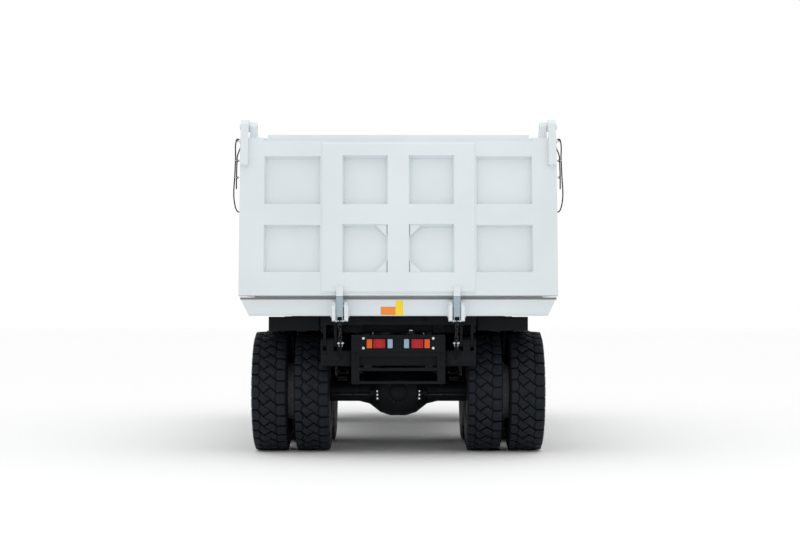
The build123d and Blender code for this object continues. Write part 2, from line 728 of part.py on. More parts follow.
def cab_shell():
    """The cab's four walls with the windows and both door openings cut."""
    width = CAB_RIGHT_X - CAB_LEFT_X
    middle = (CAB_LEFT_X + CAB_RIGHT_X) / 2
    with BuildPart() as shell:
        with BuildSketch(side_plane(CAB_LEFT_X)):
            with BuildLine():
                cab_profile(0)
            make_face()
        extrude(amount=width)
        with BuildSketch(side_plane(CAB_LEFT_X + CAB_WALL)):
            with BuildLine():
                cab_profile(CAB_WALL)
            make_face()
        extrude(amount=width - 2 * CAB_WALL, mode=Mode.SUBTRACT)
        # door openings through both side walls
        with BuildSketch(side_plane(CAB_LEFT_X)):
            with BuildLine():
                Polyline(
                    (DOOR_REAR_Y, DOOR_FOOT_Z), (DOOR_REAR_Y, DOOR_TOP_Z),
                    (DOOR_FRONT_Y, DOOR_TOP_Z), (DOOR_FRONT_Y, DOOR_FOOT_Z), close=True)
            make_face()
        extrude(amount=width, mode=Mode.SUBTRACT)
        # windscreen and rear window
        with BuildSketch(rear_plane(CAB_FRONT_Y)):
            with Locations((middle, (2460 + 3060) / 2)):
                RectangleRounded(width - 240, 600, 60)
        extrude(amount=400, mode=Mode.SUBTRACT)
        with BuildSketch(rear_plane(CAB_REAR_Y + CAB_WALL)):
            with Locations((middle, (2600 + 3000) / 2)):
                RectangleRounded(1000, 400, 50)
        extrude(amount=CAB_WALL, mode=Mode.SUBTRACT)
        # hinge pins of the doors, on lugs
        for face_x, out in ((CAB_LEFT_X, -1), (CAB_RIGHT_X, 1)):
            for z in (1950, 2350):
                pin_x = face_x + out * DOOR_PIN_OFFSET
                with BuildSketch(level_plane(z)):
                    with Locations((pin_x, DOOR_FRONT_Y + 2)):
                        Circle(12)
                extrude(amount=90)
                with BuildSketch(level_plane(z)):
                    with Locations((pin_x, DOOR_FRONT_Y + 2)):
                        Circle(20)
                    with Locations((face_x + out * DOOR_PIN_OFFSET / 2, DOOR_FRONT_Y + 22)):
                        Rectangle(DOOR_PIN_OFFSET + 20, 40)
                extrude(amount=20)
    save(shell, "cab_shell")


def cab_roof():
    with BuildPart() as roof:
        with BuildSketch(side_plane(CAB_LEFT_X - 20)):
            with BuildLine():
                Polyline(
                    (CAB_REAR_Y - 20, CAB_TOP_Z), (CAB_REAR_Y - 20, CAB_TOP_Z + 60),
                    (CAB_FRONT_Y - CAB_RAKE, CAB_TOP_Z + 60), (CAB_FRONT_Y - 40, CAB_TOP_Z),
                    close=True)
            make_face()
        extrude(amount=CAB_RIGHT_X - CAB_LEFT_X + 40)
    save(roof, "cab_roof")


def cab_interior():
    """The driver's seat, the dash and the steering wheel on its column."""
    seat_x = CAB_LEFT_X + 620
    with BuildPart() as inside:
        with BuildSketch(side_plane(seat_x - 240)):
            with BuildLine():
                Polyline(
                    (2560, CAB_FLOOR_Z), (2560, 2150), (2460, 2780), (2560, 2800), (2700, 2260),
                    (3060, 2260), (3060, 2150), (2960, CAB_FLOOR_Z), close=True)
            make_face()
        extrude(amount=480)
        with BuildSketch(side_plane(CAB_LEFT_X + CAB_WALL + 20)):
            with BuildLine():
                Polyline(
                    (3560, 2200), (3560, 2380), (3780, 2380), (3780, CAB_FLOOR_Z),
                    (3700, CAB_FLOOR_Z), (3700, 2200), close=True)
            make_face()
        extrude(amount=CAB_RIGHT_X - CAB_LEFT_X - 2 * CAB_WALL - 40)
        with BuildSketch(Plane(origin=(seat_x, 3380, 2470), x_dir=(1, 0, 0), z_dir=(0, -0.5, 0.866))):
            Circle(230)
            Circle(195, mode=Mode.SUBTRACT)
            Rectangle(400, 30)
            Circle(50)
        extrude(amount=30)
        with BuildSketch(Plane(origin=(seat_x, 3380, 2470), x_dir=(1, 0, 0), z_dir=(0, -0.5, 0.866))):
            Circle(25)
        extrude(amount=-320)
    save(inside, "cab_interior")


def door(side):
    """A door with its window cut and hinge barrels on its front edge."""
    out = side
    face_x = CAB_LEFT_X if side == LEFT else CAB_RIGHT_X
    pin_x = face_x + out * DOOR_PIN_OFFSET
    margin = 8
    with BuildPart() as panel:
        with BuildSketch(side_plane(face_x - out * DOOR_THICKNESS)):
            with Locations(((DOOR_REAR_Y + DOOR_FRONT_Y) / 2, (DOOR_FOOT_Z + DOOR_TOP_Z) / 2)):
                Rectangle(DOOR_FRONT_Y - DOOR_REAR_Y - 2 * margin, DOOR_TOP_Z - DOOR_FOOT_Z - 2 * margin)
            with Locations(((DOOR_REAR_Y + DOOR_FRONT_Y) / 2, 2680)):
                RectangleRounded(740, 520, 60, mode=Mode.SUBTRACT)
        extrude(amount=out * DOOR_THICKNESS)
        for z in (1950, 2350):
            with BuildSketch(level_plane(z + 20 + FIT)):
                with Locations((pin_x, DOOR_FRONT_Y + 2)):
                    Circle(20)
                with Locations((pin_x - out * 6, DOOR_FRONT_Y - 30)):
                    Rectangle(36, 50)
                with Locations((pin_x, DOOR_FRONT_Y + 2)):
                    Circle(12 + FIT, mode=Mode.SUBTRACT)
            extrude(amount=60)
    save(panel, f"door_{side_name(side)}")


def cab_glass():
    """The windscreen and the rear window."""
    width = CAB_RIGHT_X - CAB_LEFT_X
    middle = (CAB_LEFT_X + CAB_RIGHT_X) / 2
    with BuildPart() as glass:
        with BuildSketch(rear_plane(CAB_REAR_Y + CAB_WALL / 2)):
            with Locations((middle, (2600 + 3000) / 2)):
                RectangleRounded(1000 - 2 * FIT, 400 - 2 * FIT, 50)
        extrude(amount=8)
        rake = math.atan2(CAB_RAKE, CAB_TOP_Z - CAB_SILL_Z)
        run = math.cos(rake)
        with BuildSketch(Plane(
                origin=(middle, CAB_FRONT_Y - 30 - CAB_RAKE / 2, (CAB_SILL_Z + CAB_TOP_Z) / 2),
                x_dir=(1, 0, 0), z_dir=(0, -math.cos(rake), -math.sin(rake)))):
            with Locations((0, -20)):
                RectangleRounded(width - 240 - 2 * FIT, 595 / run, 60)
        extrude(amount=8)
    save(glass, "cab_glass")


def door_glass(side):
    face_x = CAB_LEFT_X if side == LEFT else CAB_RIGHT_X
    with BuildPart() as pane:
        with BuildSketch(side_plane(face_x - side * 30)):
            with Locations(((DOOR_REAR_Y + DOOR_FRONT_Y) / 2, 2680)):
                RectangleRounded(740 - 2 * FIT, 520 - 2 * FIT, 60)
        extrude(amount=side * 8)
    save(pane, f"door_glass_{side_name(side)}")


def mirrors():
    """A mirror on an arm at each side of the front."""
    with BuildPart() as pair:
        for x, out in ((CAB_LEFT_X, -1), (CAB_RIGHT_X, 1)):
            with BuildSketch(rear_plane(CAB_FRONT_Y - 260)):
                with Locations((x + out * 95, 2700)):
                    RectangleRounded(150, 400, 40)
            extrude(amount=-60)
            with BuildSketch(side_plane(x)):
                with Locations((CAB_FRONT_Y - 230, 2700)):
                    Circle(15)
            extrude(amount=out * 40)
    save(pair, "mirrors")


def air_cleaner():
    """The air cleaner's drum on the deck and the exhaust stack beside it."""
    with BuildPart() as stacks:
        with BuildSketch(level_plane(DECK_Z + DECK_THICKNESS)):
            with Locations((1000, 2350)):
                Circle(210)
        extrude(amount=900)
        with BuildSketch(level_plane(DECK_Z + DECK_THICKNESS + 900)):
            with Locations((1000, 2350)):
                Circle(90)
        extrude(amount=250)
        with BuildSketch(level_plane(DECK_Z + DECK_THICKNESS)):
            with Locations((560, 2110)):
                Circle(75)
        extrude(amount=1500)
    save(stacks, "air_cleaner")


# Bed


def gate_plane(depth=0.0):
    """The tailgate's inner face, moved rearward by a depth: X across and Y up the slope."""
    lean = math.radians(GATE_LEAN)
    normal = Vector(0, -math.cos(lean), math.sin(lean))
    return Plane(
        origin=Vector(0, GATE_FOOT_Y, GATE_FOOT_Z) + normal * depth,
        x_dir=(1, 0, 0), z_dir=(normal.X, normal.Y, normal.Z))


def front_wall_y(z):
    """Where the bed's front wall has its outer face at a height."""
    slope = (FRONT_TOP_Y - FRONT_FOOT_Y) / (WALL_TOP_Z - FRONT_FOOT_Z)
    return FRONT_FOOT_Y + slope * (z - FRONT_FOOT_Z)


def gate_inner_y(z):
    """Where the tailgate's inner face is at a height."""
    return GATE_FOOT_Y + (z - GATE_FOOT_Z) * math.tan(math.radians(GATE_LEAN))


def bed_floor():
    """The floor plate and the bevel-ended sill behind it, with the latch lugs."""
    rear = SILL_REAR_Y + SILL_DEPTH
    front = front_wall_y(FLOOR_TOP_Z) - BED_WALL
    with BuildPart() as floor:
        with BuildSketch(level_plane(FLOOR_TOP_Z - FLOOR_THICKNESS)):
            with Locations((0, (rear + front) / 2)):
                Rectangle(2 * BED_WALL_X, front - rear)
        extrude(amount=FLOOR_THICKNESS)
        with BuildSketch(rear_plane(SILL_REAR_Y + SILL_DEPTH)):
            with BuildLine():
                Polyline(
                    (-SILL_FOOT_HALF_WIDTH, SILL_FOOT_Z), (-SILL_TOP_HALF_WIDTH, SILL_TOP_Z),
                    (SILL_TOP_HALF_WIDTH, SILL_TOP_Z), (SILL_FOOT_HALF_WIDTH, SILL_FOOT_Z),
                    close=True)
            make_face()
        extrude(amount=SILL_DEPTH)
        with BuildSketch(side_plane(-BED_WALL_X)):
            with BuildLine():
                Polyline(
                    (SILL_REAR_Y + SILL_DEPTH, FLOOR_TOP_Z), (SILL_REAR_Y + 40, FLOOR_TOP_Z - 4),
                    (SILL_REAR_Y + 40, SILL_TOP_Z), (SILL_REAR_Y + SILL_DEPTH, SILL_TOP_Z), close=True)
            make_face()
        extrude(amount=2 * BED_WALL_X)
        # lugs of the tailgate latches, with the pin across them
        for side in (LEFT, RIGHT):
            for inner, outer in ((542, 583), (677, 717)):
                with BuildSketch(side_plane(side * inner)):
                    with BuildLine():
                        Polyline(
                            (SILL_REAR_Y, SILL_FOOT_Z), (SILL_REAR_Y, 1700),
                            (LATCH_Y, 1700), (LATCH_Y - 60, 1650), (LATCH_Y - 40, 1500),
                            (LATCH_Y + 20, 1490), close=True)
                    make_face()
                extrude(amount=side * (outer - inner))
            with BuildSketch(side_plane(side * 583)):
                with Locations((LATCH_Y, LATCH_PIN_Z)):
                    Circle(15)
            extrude(amount=side * (677 - 583))
    save(floor, "bed_floor")


def bed_side(side):
    """A side wall: the plate, its rails and posts, and the ear of the tailgate's pin."""
    gate_gap = GAP
    foot = CROSS_BEAM_TOP_Z

    def outline():
        Polyline(
            (gate_inner_y(foot) + gate_gap, foot), (gate_inner_y(WALL_TOP_Z) + gate_gap, WALL_TOP_Z),
            (FRONT_TOP_Y, WALL_TOP_Z), (front_wall_y(foot), foot),
            close=True)

    with BuildPart() as wall:
        with BuildSketch(side_plane(side * BED_WALL_X)):
            with BuildLine():
                outline()
            make_face()
        extrude(amount=side * BED_WALL)
        # posts and rails outside the plate
        with BuildSketch(side_plane(side * (BED_WALL_X + BED_WALL))):
            with BuildLine():
                outline()
            make_face()
            for middle in (-3500, -2780, -2060, -1340, -620, 100, 820):
                with Locations((middle, (foot + WALL_TOP_Z) / 2)):
                    Rectangle(580, WALL_TOP_Z - foot - 240, mode=Mode.SUBTRACT)
        extrude(amount=side * (BED_HALF_WIDTH - BED_WALL_X - BED_WALL))
        # ear beside the tailgate's arm
        with BuildSketch(side_plane(side * BED_WALL_X)):
            with BuildLine():
                Polyline(
                    (GATE_PIN_Y - 100, WALL_TOP_Z - 1), (GATE_PIN_Y - 60, GATE_PIN_Z),
                    (GATE_PIN_Y, GATE_PIN_Z + 55), (GATE_PIN_Y + 60, GATE_PIN_Z),
                    (GATE_PIN_Y + 200, WALL_TOP_Z - 1), close=True)
            make_face()
            with Locations((GATE_PIN_Y, GATE_PIN_Z)):
                Circle(GATE_PIN_RADIUS + FIT, mode=Mode.SUBTRACT)
        extrude(amount=side * (GATE_ARM_INNER_X - 5 - BED_WALL_X))
    save(wall, f"bed_side_{side_name(side)}")


def bed_front():
    """The sloping front wall, the canopy over the cab and the hoist's bracket."""
    foot = FLOOR_TOP_Z - FLOOR_THICKNESS
    with BuildPart() as front:
        with BuildSketch(side_plane(-BED_WALL_X)):
            with BuildLine():
                Polyline(
                    (front_wall_y(FLOOR_TOP_Z) - BED_WALL, foot),
                    (front_wall_y(FLOOR_TOP_Z) - BED_WALL, FLOOR_TOP_Z),
                    (FRONT_TOP_Y - BED_WALL, WALL_TOP_Z), (FRONT_TOP_Y - BED_WALL, WALL_TOP_Z + 40),
                    (3500, WALL_TOP_Z + 60), (3500, WALL_TOP_Z + 20), (FRONT_TOP_Y + 12, WALL_TOP_Z),
                    (front_wall_y(foot), foot), close=True)
            make_face()
        extrude(amount=2 * BED_WALL_X)
        for side in (LEFT, RIGHT):
            with BuildSketch(side_plane(side * (HOIST_EYE_HALF_WIDTH + FIT))):
                with BuildLine():
                    Polyline(
                        (front_wall_y(HOIST_EYE_Z - 80) - 5, HOIST_EYE_Z - 80),
                        (HOIST_Y + 60, HOIST_EYE_Z - 80), (HOIST_Y + 90, HOIST_EYE_Z),
                        (HOIST_Y + 60, HOIST_EYE_Z + 80),
                        (front_wall_y(HOIST_EYE_Z + 250) - 5, HOIST_EYE_Z + 250),
                        close=True)
                make_face()
            extrude(amount=side * 30)
    save(front, "bed_front")


def bed_subframe():
    """Two longerons over the frame rails, cross beams under the floor, the pivot's ears."""
    beam_rear = PIVOT_Y - 120
    beam_front = PIVOT_Y + 130
    with BuildPart() as subframe:
        for side in (LEFT, RIGHT):
            with BuildSketch(side_plane(side * (RAIL_X - 60))):
                with BuildLine():
                    Polyline(
                        (PIVOT_Y + 100, LONGERON_FOOT_Z), (PIVOT_Y + 100, LONGERON_TOP_Z),
                        (FRONT_FOOT_Y - 40, LONGERON_TOP_Z), (FRONT_FOOT_Y - 100, LONGERON_FOOT_Z),
                        close=True)
                make_face()
            extrude(amount=side * 120)
            for x in (EAR_INNER_X, EAR_OUTER_X):
                with BuildSketch(side_plane(side * x)):
                    with BuildLine():
                        Polyline(
                            (beam_rear, LONGERON_TOP_Z), (beam_rear, 1450), (PIVOT_Y - 85, PIVOT_Z),
                            (PIVOT_Y + 85, PIVOT_Z), (beam_front, 1450), (beam_front, LONGERON_TOP_Z),
                            close=True)
                    make_face()
                    with Locations((PIVOT_Y, PIVOT_Z)):
                        Circle(PIVOT_EAR_RADIUS)
                        Circle(PIVOT_PIN_RADIUS + FIT, mode=Mode.SUBTRACT)
                extrude(amount=side * EAR_THICKNESS)
        with BuildSketch(side_plane(0)):
            with Locations(((beam_rear + beam_front) / 2, (1450 + LONGERON_TOP_Z) / 2)):
                Rectangle(beam_front - beam_rear, LONGERON_TOP_Z - 1450)
        extrude(amount=PIN_OUTER_X, both=True)
        for y in (-3725, -3000, -2300, -1600, -900, -200, 500, 1000):
            with BuildSketch(rear_plane(y + 50)):
                with BuildLine():
                    Polyline(
                        (-BED_WALL_X, CROSS_BEAM_TOP_Z), (-BED_WALL_X, 1700), (-900, LONGERON_TOP_Z),
                        (900, LONGERON_TOP_Z), (BED_WALL_X, 1700), (BED_WALL_X, CROSS_BEAM_TOP_Z),
                        close=True)
                make_face()
            extrude(amount=100)
    save(subframe, "bed_subframe")


def bed_guards():
    """Plates under the bed, over the tyres, with their hangers."""
    with BuildPart() as guards:
        for side in (LEFT, RIGHT):
            with BuildSketch(side_plane(side * 890)):
                with BuildLine():
                    Polyline(
                        (-3600, 1540), (-3600, 1385), (-950, 1385), (-950, 1540),
                        (-965, 1540), (-965, 1400), (-3585, 1400), (-3585, 1540), close=True)
                make_face()
            extrude(amount=side * 560)
            for y in (-3000, -2300, -1600):
                with BuildSketch(rear_plane(y + 30)):
                    with Locations((side * 1000, (1400 + 1610) / 2)):
                        Rectangle(60, 1610 - 1400)
                extrude(amount=60)
    save(guards, "bed_guards")


def tailgate_panel():
    """The pressed tailgate: a grid of bands and ribs round eight sunk, drafted cells."""
    top_band = CELL_ROWS[-1][1] + 169
    with BuildPart() as gate:
        with BuildSketch(gate_plane()):
            with Locations((0, GATE_POST_HEIGHT / 2)):
                Rectangle(2 * BED_HALF_WIDTH, GATE_POST_HEIGHT)
            with Locations((0, GATE_HEIGHT / 2)):
                Rectangle(2 * GATE_LIP_HALF_WIDTH, GATE_HEIGHT)
        extrude(amount=GATE_LIP_DEPTH)
        with BuildSketch(gate_plane(GATE_LIP_DEPTH)):
            with Locations((0, top_band / 2)):
                Rectangle(2 * BED_HALF_WIDTH, top_band)
            for side in (LEFT, RIGHT):
                with Locations((side * (BED_HALF_WIDTH + CELL_COLUMNS[-1][1]) / 2, GATE_POST_HEIGHT / 2)):
                    Rectangle(BED_HALF_WIDTH - CELL_COLUMNS[-1][1], GATE_POST_HEIGHT)
        extrude(amount=GATE_DEPTH - GATE_LIP_DEPTH)
        # the bands and ribs between the outer columns stand a little prouder
        with BuildSketch(gate_plane(GATE_DEPTH)):
            with Locations((0, top_band / 2)):
                Rectangle(2 * CELL_COLUMNS[1][0], top_band - 2 * GATE_DRAFT)
        extrude(amount=GATE_PROUD_DEPTH - GATE_DEPTH, taper=45)
        # each cell's mouth is wider than its floor by the draft of the pressed ribs
        for low, high in CELL_ROWS:
            for side in (LEFT, RIGHT):
                for inner, outer in CELL_COLUMNS:
                    with BuildSketch(gate_plane(GATE_SKIN)):
                        with Locations((side * (inner + outer) / 2, (low + high) / 2)):
                            Rectangle(outer - inner - 2 * GATE_DRAFT, high - low - 2 * GATE_DRAFT)
                    extrude(amount=GATE_PROUD_DEPTH, taper=-GATE_DRAFT_ANGLE, mode=Mode.SUBTRACT)
        # gussets in the corners of the middle cells
        for side in (LEFT, RIGHT):
            x = side * (CELL_COLUMNS[0][0] + GATE_DRAFT / 2)
            for y, rise in ((CELL_ROWS[0][1], -GUSSET), (CELL_ROWS[0][0], GUSSET)):
                with BuildSketch(gate_plane(GATE_SKIN)):
                    with BuildLine():
                        Polyline((x, y), (x + side * GUSSET, y), (x, y + rise), close=True)
                    make_face()
                extrude(amount=GATE_DEPTH - GATE_SKIN)
    save(gate, "tailgate_panel")


def tailgate_arms():
    """The arms over the corner posts, their pins, and the keepers of the latches."""
    slope_top = (GATE_PIN_Z - GATE_FOOT_Z) / math.cos(math.radians(GATE_LEAN))
    face = gate_plane(GATE_DEPTH)
    foot = face.origin + face.y_dir * (GATE_POST_HEIGHT - 320)
    top = face.origin + face.y_dir * slope_top
    post_top = face.origin + face.y_dir * (GATE_POST_HEIGHT + 20)
    proud = gate_plane(GATE_PROUD_DEPTH)
    with BuildPart() as arms:
        for side in (LEFT, RIGHT):
            with BuildSketch(side_plane(side * GATE_ARM_INNER_X)):
                with BuildLine():
                    Polyline(
                        (foot.Y, foot.Z), (foot.Y - 60, foot.Z + 20), (top.Y - 60, top.Z),
                        (top.Y, GATE_PIN_Z + 58), (GATE_PIN_Y, GATE_PIN_Z + 58),
                        (GATE_PIN_Y + 55, GATE_PIN_Z), (GATE_PIN_Y, GATE_PIN_Z - 55),
                        (post_top.Y, GATE_PIN_Z - 60), (post_top.Y, post_top.Z), close=True)
                make_face()
            extrude(amount=side * GATE_ARM_WIDTH)
            with BuildSketch(side_plane(side * (BED_WALL_X + 5))):
                with Locations((GATE_PIN_Y, GATE_PIN_Z)):
                    Circle(GATE_PIN_RADIUS)
            extrude(amount=side * (GATE_ARM_INNER_X + GATE_ARM_WIDTH + 30 - BED_WALL_X - 5))
            # keeper over the latch, on the proud band at the gate's foot
            with BuildSketch(side_plane(side * LATCH_X - LATCH_WIDTH / 2)):
                with BuildLine():
                    seat_foot = proud.origin + proud.y_dir * (2 * GATE_DRAFT)
                    seat_top = proud.origin + proud.y_dir * KEEPER_LENGTH
                    Polyline(
                        (seat_foot.Y, seat_foot.Z), (seat_top.Y, seat_top.Z),
                        (seat_top.Y - KEEPER_DEPTH, seat_top.Z - 14),
                        (proud.origin.Y - KEEPER_DEPTH, GATE_FOOT_Z),
                        (proud.origin.Y - 3, GATE_FOOT_Z), close=True)
                make_face()
            extrude(amount=LATCH_WIDTH)
    save(arms, "tailgate_arms")


def latch(side):
    """A latch arm on its pin, with cheeks at its foot for the chain."""
    x = side * LATCH_X
    with BuildPart() as arm:
        with BuildSketch(side_plane(x - LATCH_WIDTH / 2)):
            with BuildLine():
                Polyline(
                    (LATCH_Y - 25, LATCH_FOOT_Z), (LATCH_Y + 25, LATCH_FOOT_Z),
                    (LATCH_Y + 25, 1740), (LATCH_Y, GATE_FOOT_Z - 6), (LATCH_Y - 40, GATE_FOOT_Z - 6),
                    (LATCH_Y - 40, 1640), close=True)
            make_face()
            with Locations((LATCH_Y, LATCH_PIN_Z)):
                Circle(15 + FIT, mode=Mode.SUBTRACT)
        extrude(amount=LATCH_WIDTH)
        with BuildSketch(side_plane(x - LATCH_WIDTH / 2 + 9)):
            with Locations((LATCH_Y, (LATCH_FOOT_Z + 1540) / 2)):
                Rectangle(200, 1540 - LATCH_FOOT_Z)
        extrude(amount=LATCH_WIDTH - 18, mode=Mode.SUBTRACT)
    save(arm, f"latch_{side_name(side)}")


def chain(side):
    """The latch's chain, with the shackle that turns on the frame's lug."""
    x = side * LATCH_X
    top = Vector(0, LATCH_Y, LATCH_FOOT_Z + 10)
    pin = Vector(0, SHACKLE_Y, SHACKLE_Z)
    along = (top - pin).normalized()
    length = (top - pin).length
    cheek_gap = LUG_THICKNESS / 2 + FIT
    with BuildPart() as link:
        # the shackle's cheeks, crown and pin: X runs along the chain in this sketch
        for start, end in ((cheek_gap, cheek_gap + 10), (-cheek_gap, -cheek_gap - 10)):
            with BuildSketch(Plane(origin=(x + start, pin.Y, pin.Z), x_dir=along, z_dir=(1, 0, 0))):
                with Locations((25, 0)):
                    SlotCenterToCenter(50, 36)
            extrude(amount=end - start)
        with BuildSketch(Plane(origin=(x - cheek_gap, pin.Y, pin.Z), x_dir=along, z_dir=(1, 0, 0))):
            with Locations((52, 0)):
                Rectangle(30, 24)
        extrude(amount=2 * cheek_gap)
        with BuildSketch(side_plane(x - cheek_gap - 16)):
            with Locations((pin.Y, pin.Z)):
                Circle(SHACKLE_PIN_RADIUS)
        extrude(amount=2 * cheek_gap + 32)
        with BuildSketch(Plane(origin=(x - 9, pin.Y, pin.Z), x_dir=along, z_dir=(1, 0, 0))):
            with Locations((length / 2 + 30, 0)):
                SlotOverall(length - 60, 44)
        extrude(amount=18)
    save(link, f"chain_{side_name(side)}")


# Hoist


def hoist_barrel():
    """The outer tube with its eye on a cross pin, bored for the first stage."""
    outer, bore = HOIST_RADII[0], HOIST_RADII[1] + FIT
    with BuildPart() as barrel:
        with BuildSketch(level_plane(HOIST_FOOT_Z + 110)):
            with Locations((0, HOIST_Y)):
                Circle(outer)
        extrude(amount=HOIST_BARREL_TOP_Z - HOIST_FOOT_Z - 110)
        with BuildSketch(side_plane(-HOIST_RADII[0])):
            with Locations((HOIST_Y, HOIST_FOOT_Z)):
                Circle(80)
            with Locations((HOIST_Y, HOIST_FOOT_Z + 70)):
                Rectangle(140, 140)
        extrude(amount=2 * HOIST_RADII[0])
        with BuildSketch(side_plane(0)):
            with Locations((HOIST_Y, HOIST_FOOT_Z)):
                Circle(40)
        extrude(amount=RAIL_X - RAIL_WIDTH / 2 - 40, both=True)
        with BuildSketch(level_plane(HOIST_FOOT_Z + 160)):
            with Locations((0, HOIST_Y)):
                Circle(bore)
        extrude(amount=HOIST_BARREL_TOP_Z, mode=Mode.SUBTRACT)
    save(barrel, "hoist_barrel")


def hoist_stage(number):
    """A tube that slides in the one before it, or the last rod with its eye."""
    outer = HOIST_RADII[number]
    last = number == len(HOIST_RADII) - 1
    foot = HOIST_FOOT_Z + 160 + 10 * number
    top = HOIST_BARREL_TOP_Z + HOIST_STEP * number
    with BuildPart() as stage:
        with BuildSketch(level_plane(foot)):
            with Locations((0, HOIST_Y)):
                Circle(outer)
        extrude(amount=top - foot)
        if last:
            with BuildSketch(side_plane(-HOIST_EYE_HALF_WIDTH)):
                with Locations((HOIST_Y, HOIST_EYE_Z)):
                    Circle(70)
                with Locations((HOIST_Y, HOIST_EYE_Z - 45)):
                    Rectangle(110, 90)
            extrude(amount=2 * HOIST_EYE_HALF_WIDTH)
        else:
            with BuildSketch(level_plane(foot + 8)):
                with Locations((0, HOIST_Y)):
                    Circle(HOIST_RADII[number + 1] + FIT)
            extrude(amount=top, mode=Mode.SUBTRACT)
    save(stage, f"hoist_stage_{number}")


frame_rails()
cross_members()
tail_frame()
tail_lamps()
hinge_seats()
drive_axles()
leaf_springs()
front_axle()
engine_block()
prop_shafts()
radiator()
tanks()
front_bumper()
headlamps()
deck()
deck_rails()
ladder()
cab_floor()
cab_shell()
cab_roof()
cab_interior()
cab_glass()
mirrors()
air_cleaner()
bed_floor()
bed_front()
bed_subframe()
bed_guards()
tailgate_panel()
tailgate_arms()
hoist_barrel()
for number in (1, 2, 3):
    hoist_stage(number)
for side in (LEFT, RIGHT):
    name = side_name(side)
    knuckle(side)
    door(side)
    door_glass(side)
    bed_side(side)
    latch(side)
    chain(side)
    tyres(f"tyre_front_{name}", FRONT_AXLE_Y, [side * FRONT_WHEEL_X])
    front_rim(f"rim_front_{name}", side)
    for place, y in (("middle", MIDDLE_AXLE_Y), ("rear", REAR_AXLE_Y)):
        tyres(f"tyres_{place}_{name}", y, [side * INNER_WHEEL_X, side * OUTER_WHEEL_X])
        twin_rim(f"rims_{place}_{name}", y, side)
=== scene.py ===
"""Looks of the wide-body mining dump truck, built round its packed model.

Metres, +Z up, the truck faces +Y, and its left side is -X.
"""

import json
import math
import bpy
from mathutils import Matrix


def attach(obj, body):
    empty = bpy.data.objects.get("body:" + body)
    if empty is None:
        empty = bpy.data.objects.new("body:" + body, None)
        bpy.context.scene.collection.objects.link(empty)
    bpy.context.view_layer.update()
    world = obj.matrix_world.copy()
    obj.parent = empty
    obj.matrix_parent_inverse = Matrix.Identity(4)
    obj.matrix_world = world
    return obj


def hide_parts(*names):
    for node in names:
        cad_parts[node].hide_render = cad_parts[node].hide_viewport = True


bl_info = {
    "name": "Mining dump truck",
    "version": (1, 0, 0),
    "blender": (4, 5, 0),
    "location": "View3D > Sidebar > Dump truck",
    "description": "Finishes a wide-body mining dump truck and sets it in a plain studio",
    "category": "Object",
}

import bpy
from bpy.props import FloatProperty, FloatVectorProperty, IntProperty, PointerProperty
from mathutils import Matrix, Vector

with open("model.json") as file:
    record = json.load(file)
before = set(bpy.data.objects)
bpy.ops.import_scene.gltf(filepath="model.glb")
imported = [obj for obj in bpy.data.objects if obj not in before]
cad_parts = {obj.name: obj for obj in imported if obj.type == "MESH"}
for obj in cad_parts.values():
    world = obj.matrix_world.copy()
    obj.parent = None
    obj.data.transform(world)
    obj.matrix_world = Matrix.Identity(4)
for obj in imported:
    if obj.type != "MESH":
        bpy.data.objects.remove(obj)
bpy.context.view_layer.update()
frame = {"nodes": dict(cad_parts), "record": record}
CAD_SLOTS = {part["node"]: part["material_slot"] for part in frame["record"]["subparts"]}

LEFT, RIGHT = -1, 1
# lays a ring's axis, which is X, along Z
UPRIGHT = Matrix.Rotation(math.radians(-90), 4, "Y")
BACK, FORTH, UP, DOWN = (0, -1, 0), (0, 1, 0), (0, 0, 1), (0, 0, -1)
SIDES = ((LEFT, "left"), (RIGHT, "right"))

# Wheels: where each axle's tyres stand, and the body that carries them
WHEEL_Z = 0.685
TYRE_RADIUS = 0.685
FRONT_AXLE_Y = 2.42
MIDDLE_AXLE_Y = -1.48
REAR_AXLE_Y = -2.98
TWIN_X = (0.972, 1.450)
FRONT_X = (1.320,)


# Small tools of the modeller


def clear_selection():
    if bpy.context.object and bpy.context.object.mode != "OBJECT":
        bpy.ops.object.mode_set(mode="OBJECT")
    bpy.ops.object.select_all(action="DESELECT")


def use(piece):
    """Makes one piece the active and only selected one."""
    clear_selection()
    piece.select_set(True)
    bpy.context.view_layer.objects.active = piece
    return piece


def settle(piece):
    """Puts a piece's place, turn and scale into its mesh."""
    use(piece)
    bpy.ops.object.transform_apply(location=True, rotation=True, scale=True)
    return piece


def round_edges(piece, width, segments=2, angle=30.0):
    bevel = piece.modifiers.new("edges", "BEVEL")
    bevel.width = width
    bevel.segments = segments
    bevel.limit_method = "ANGLE"
    bevel.angle_limit = math.radians(angle)
    use(piece)
    bpy.ops.object.modifier_apply(modifier=bevel.name)
    return piece


def block(centre, size, edge=0.004, segments=2):
    """A block at its place, with its edges rounded."""
    clear_selection()
    bpy.ops.mesh.primitive_cube_add(size=1.0, location=centre)
    made = bpy.context.object
    made.scale = size
    settle(made)
    return round_edges(made, edge, segments) if edge else made


def rod(start, end, radius, sides=24, edge=0.0, segments=2):
    """A round bar from one point to another."""
    start, end = Vector(start), Vector(end)
    run = end - start
    clear_selection()
    bpy.ops.mesh.primitive_cylinder_add(
        vertices=sides, radius=radius, depth=run.length, location=(start + end) / 2,
        rotation=run.to_track_quat("Z", "Y").to_euler())
    made = settle(bpy.context.object)
    return round_edges(made, edge, segments, 50.0) if edge else made


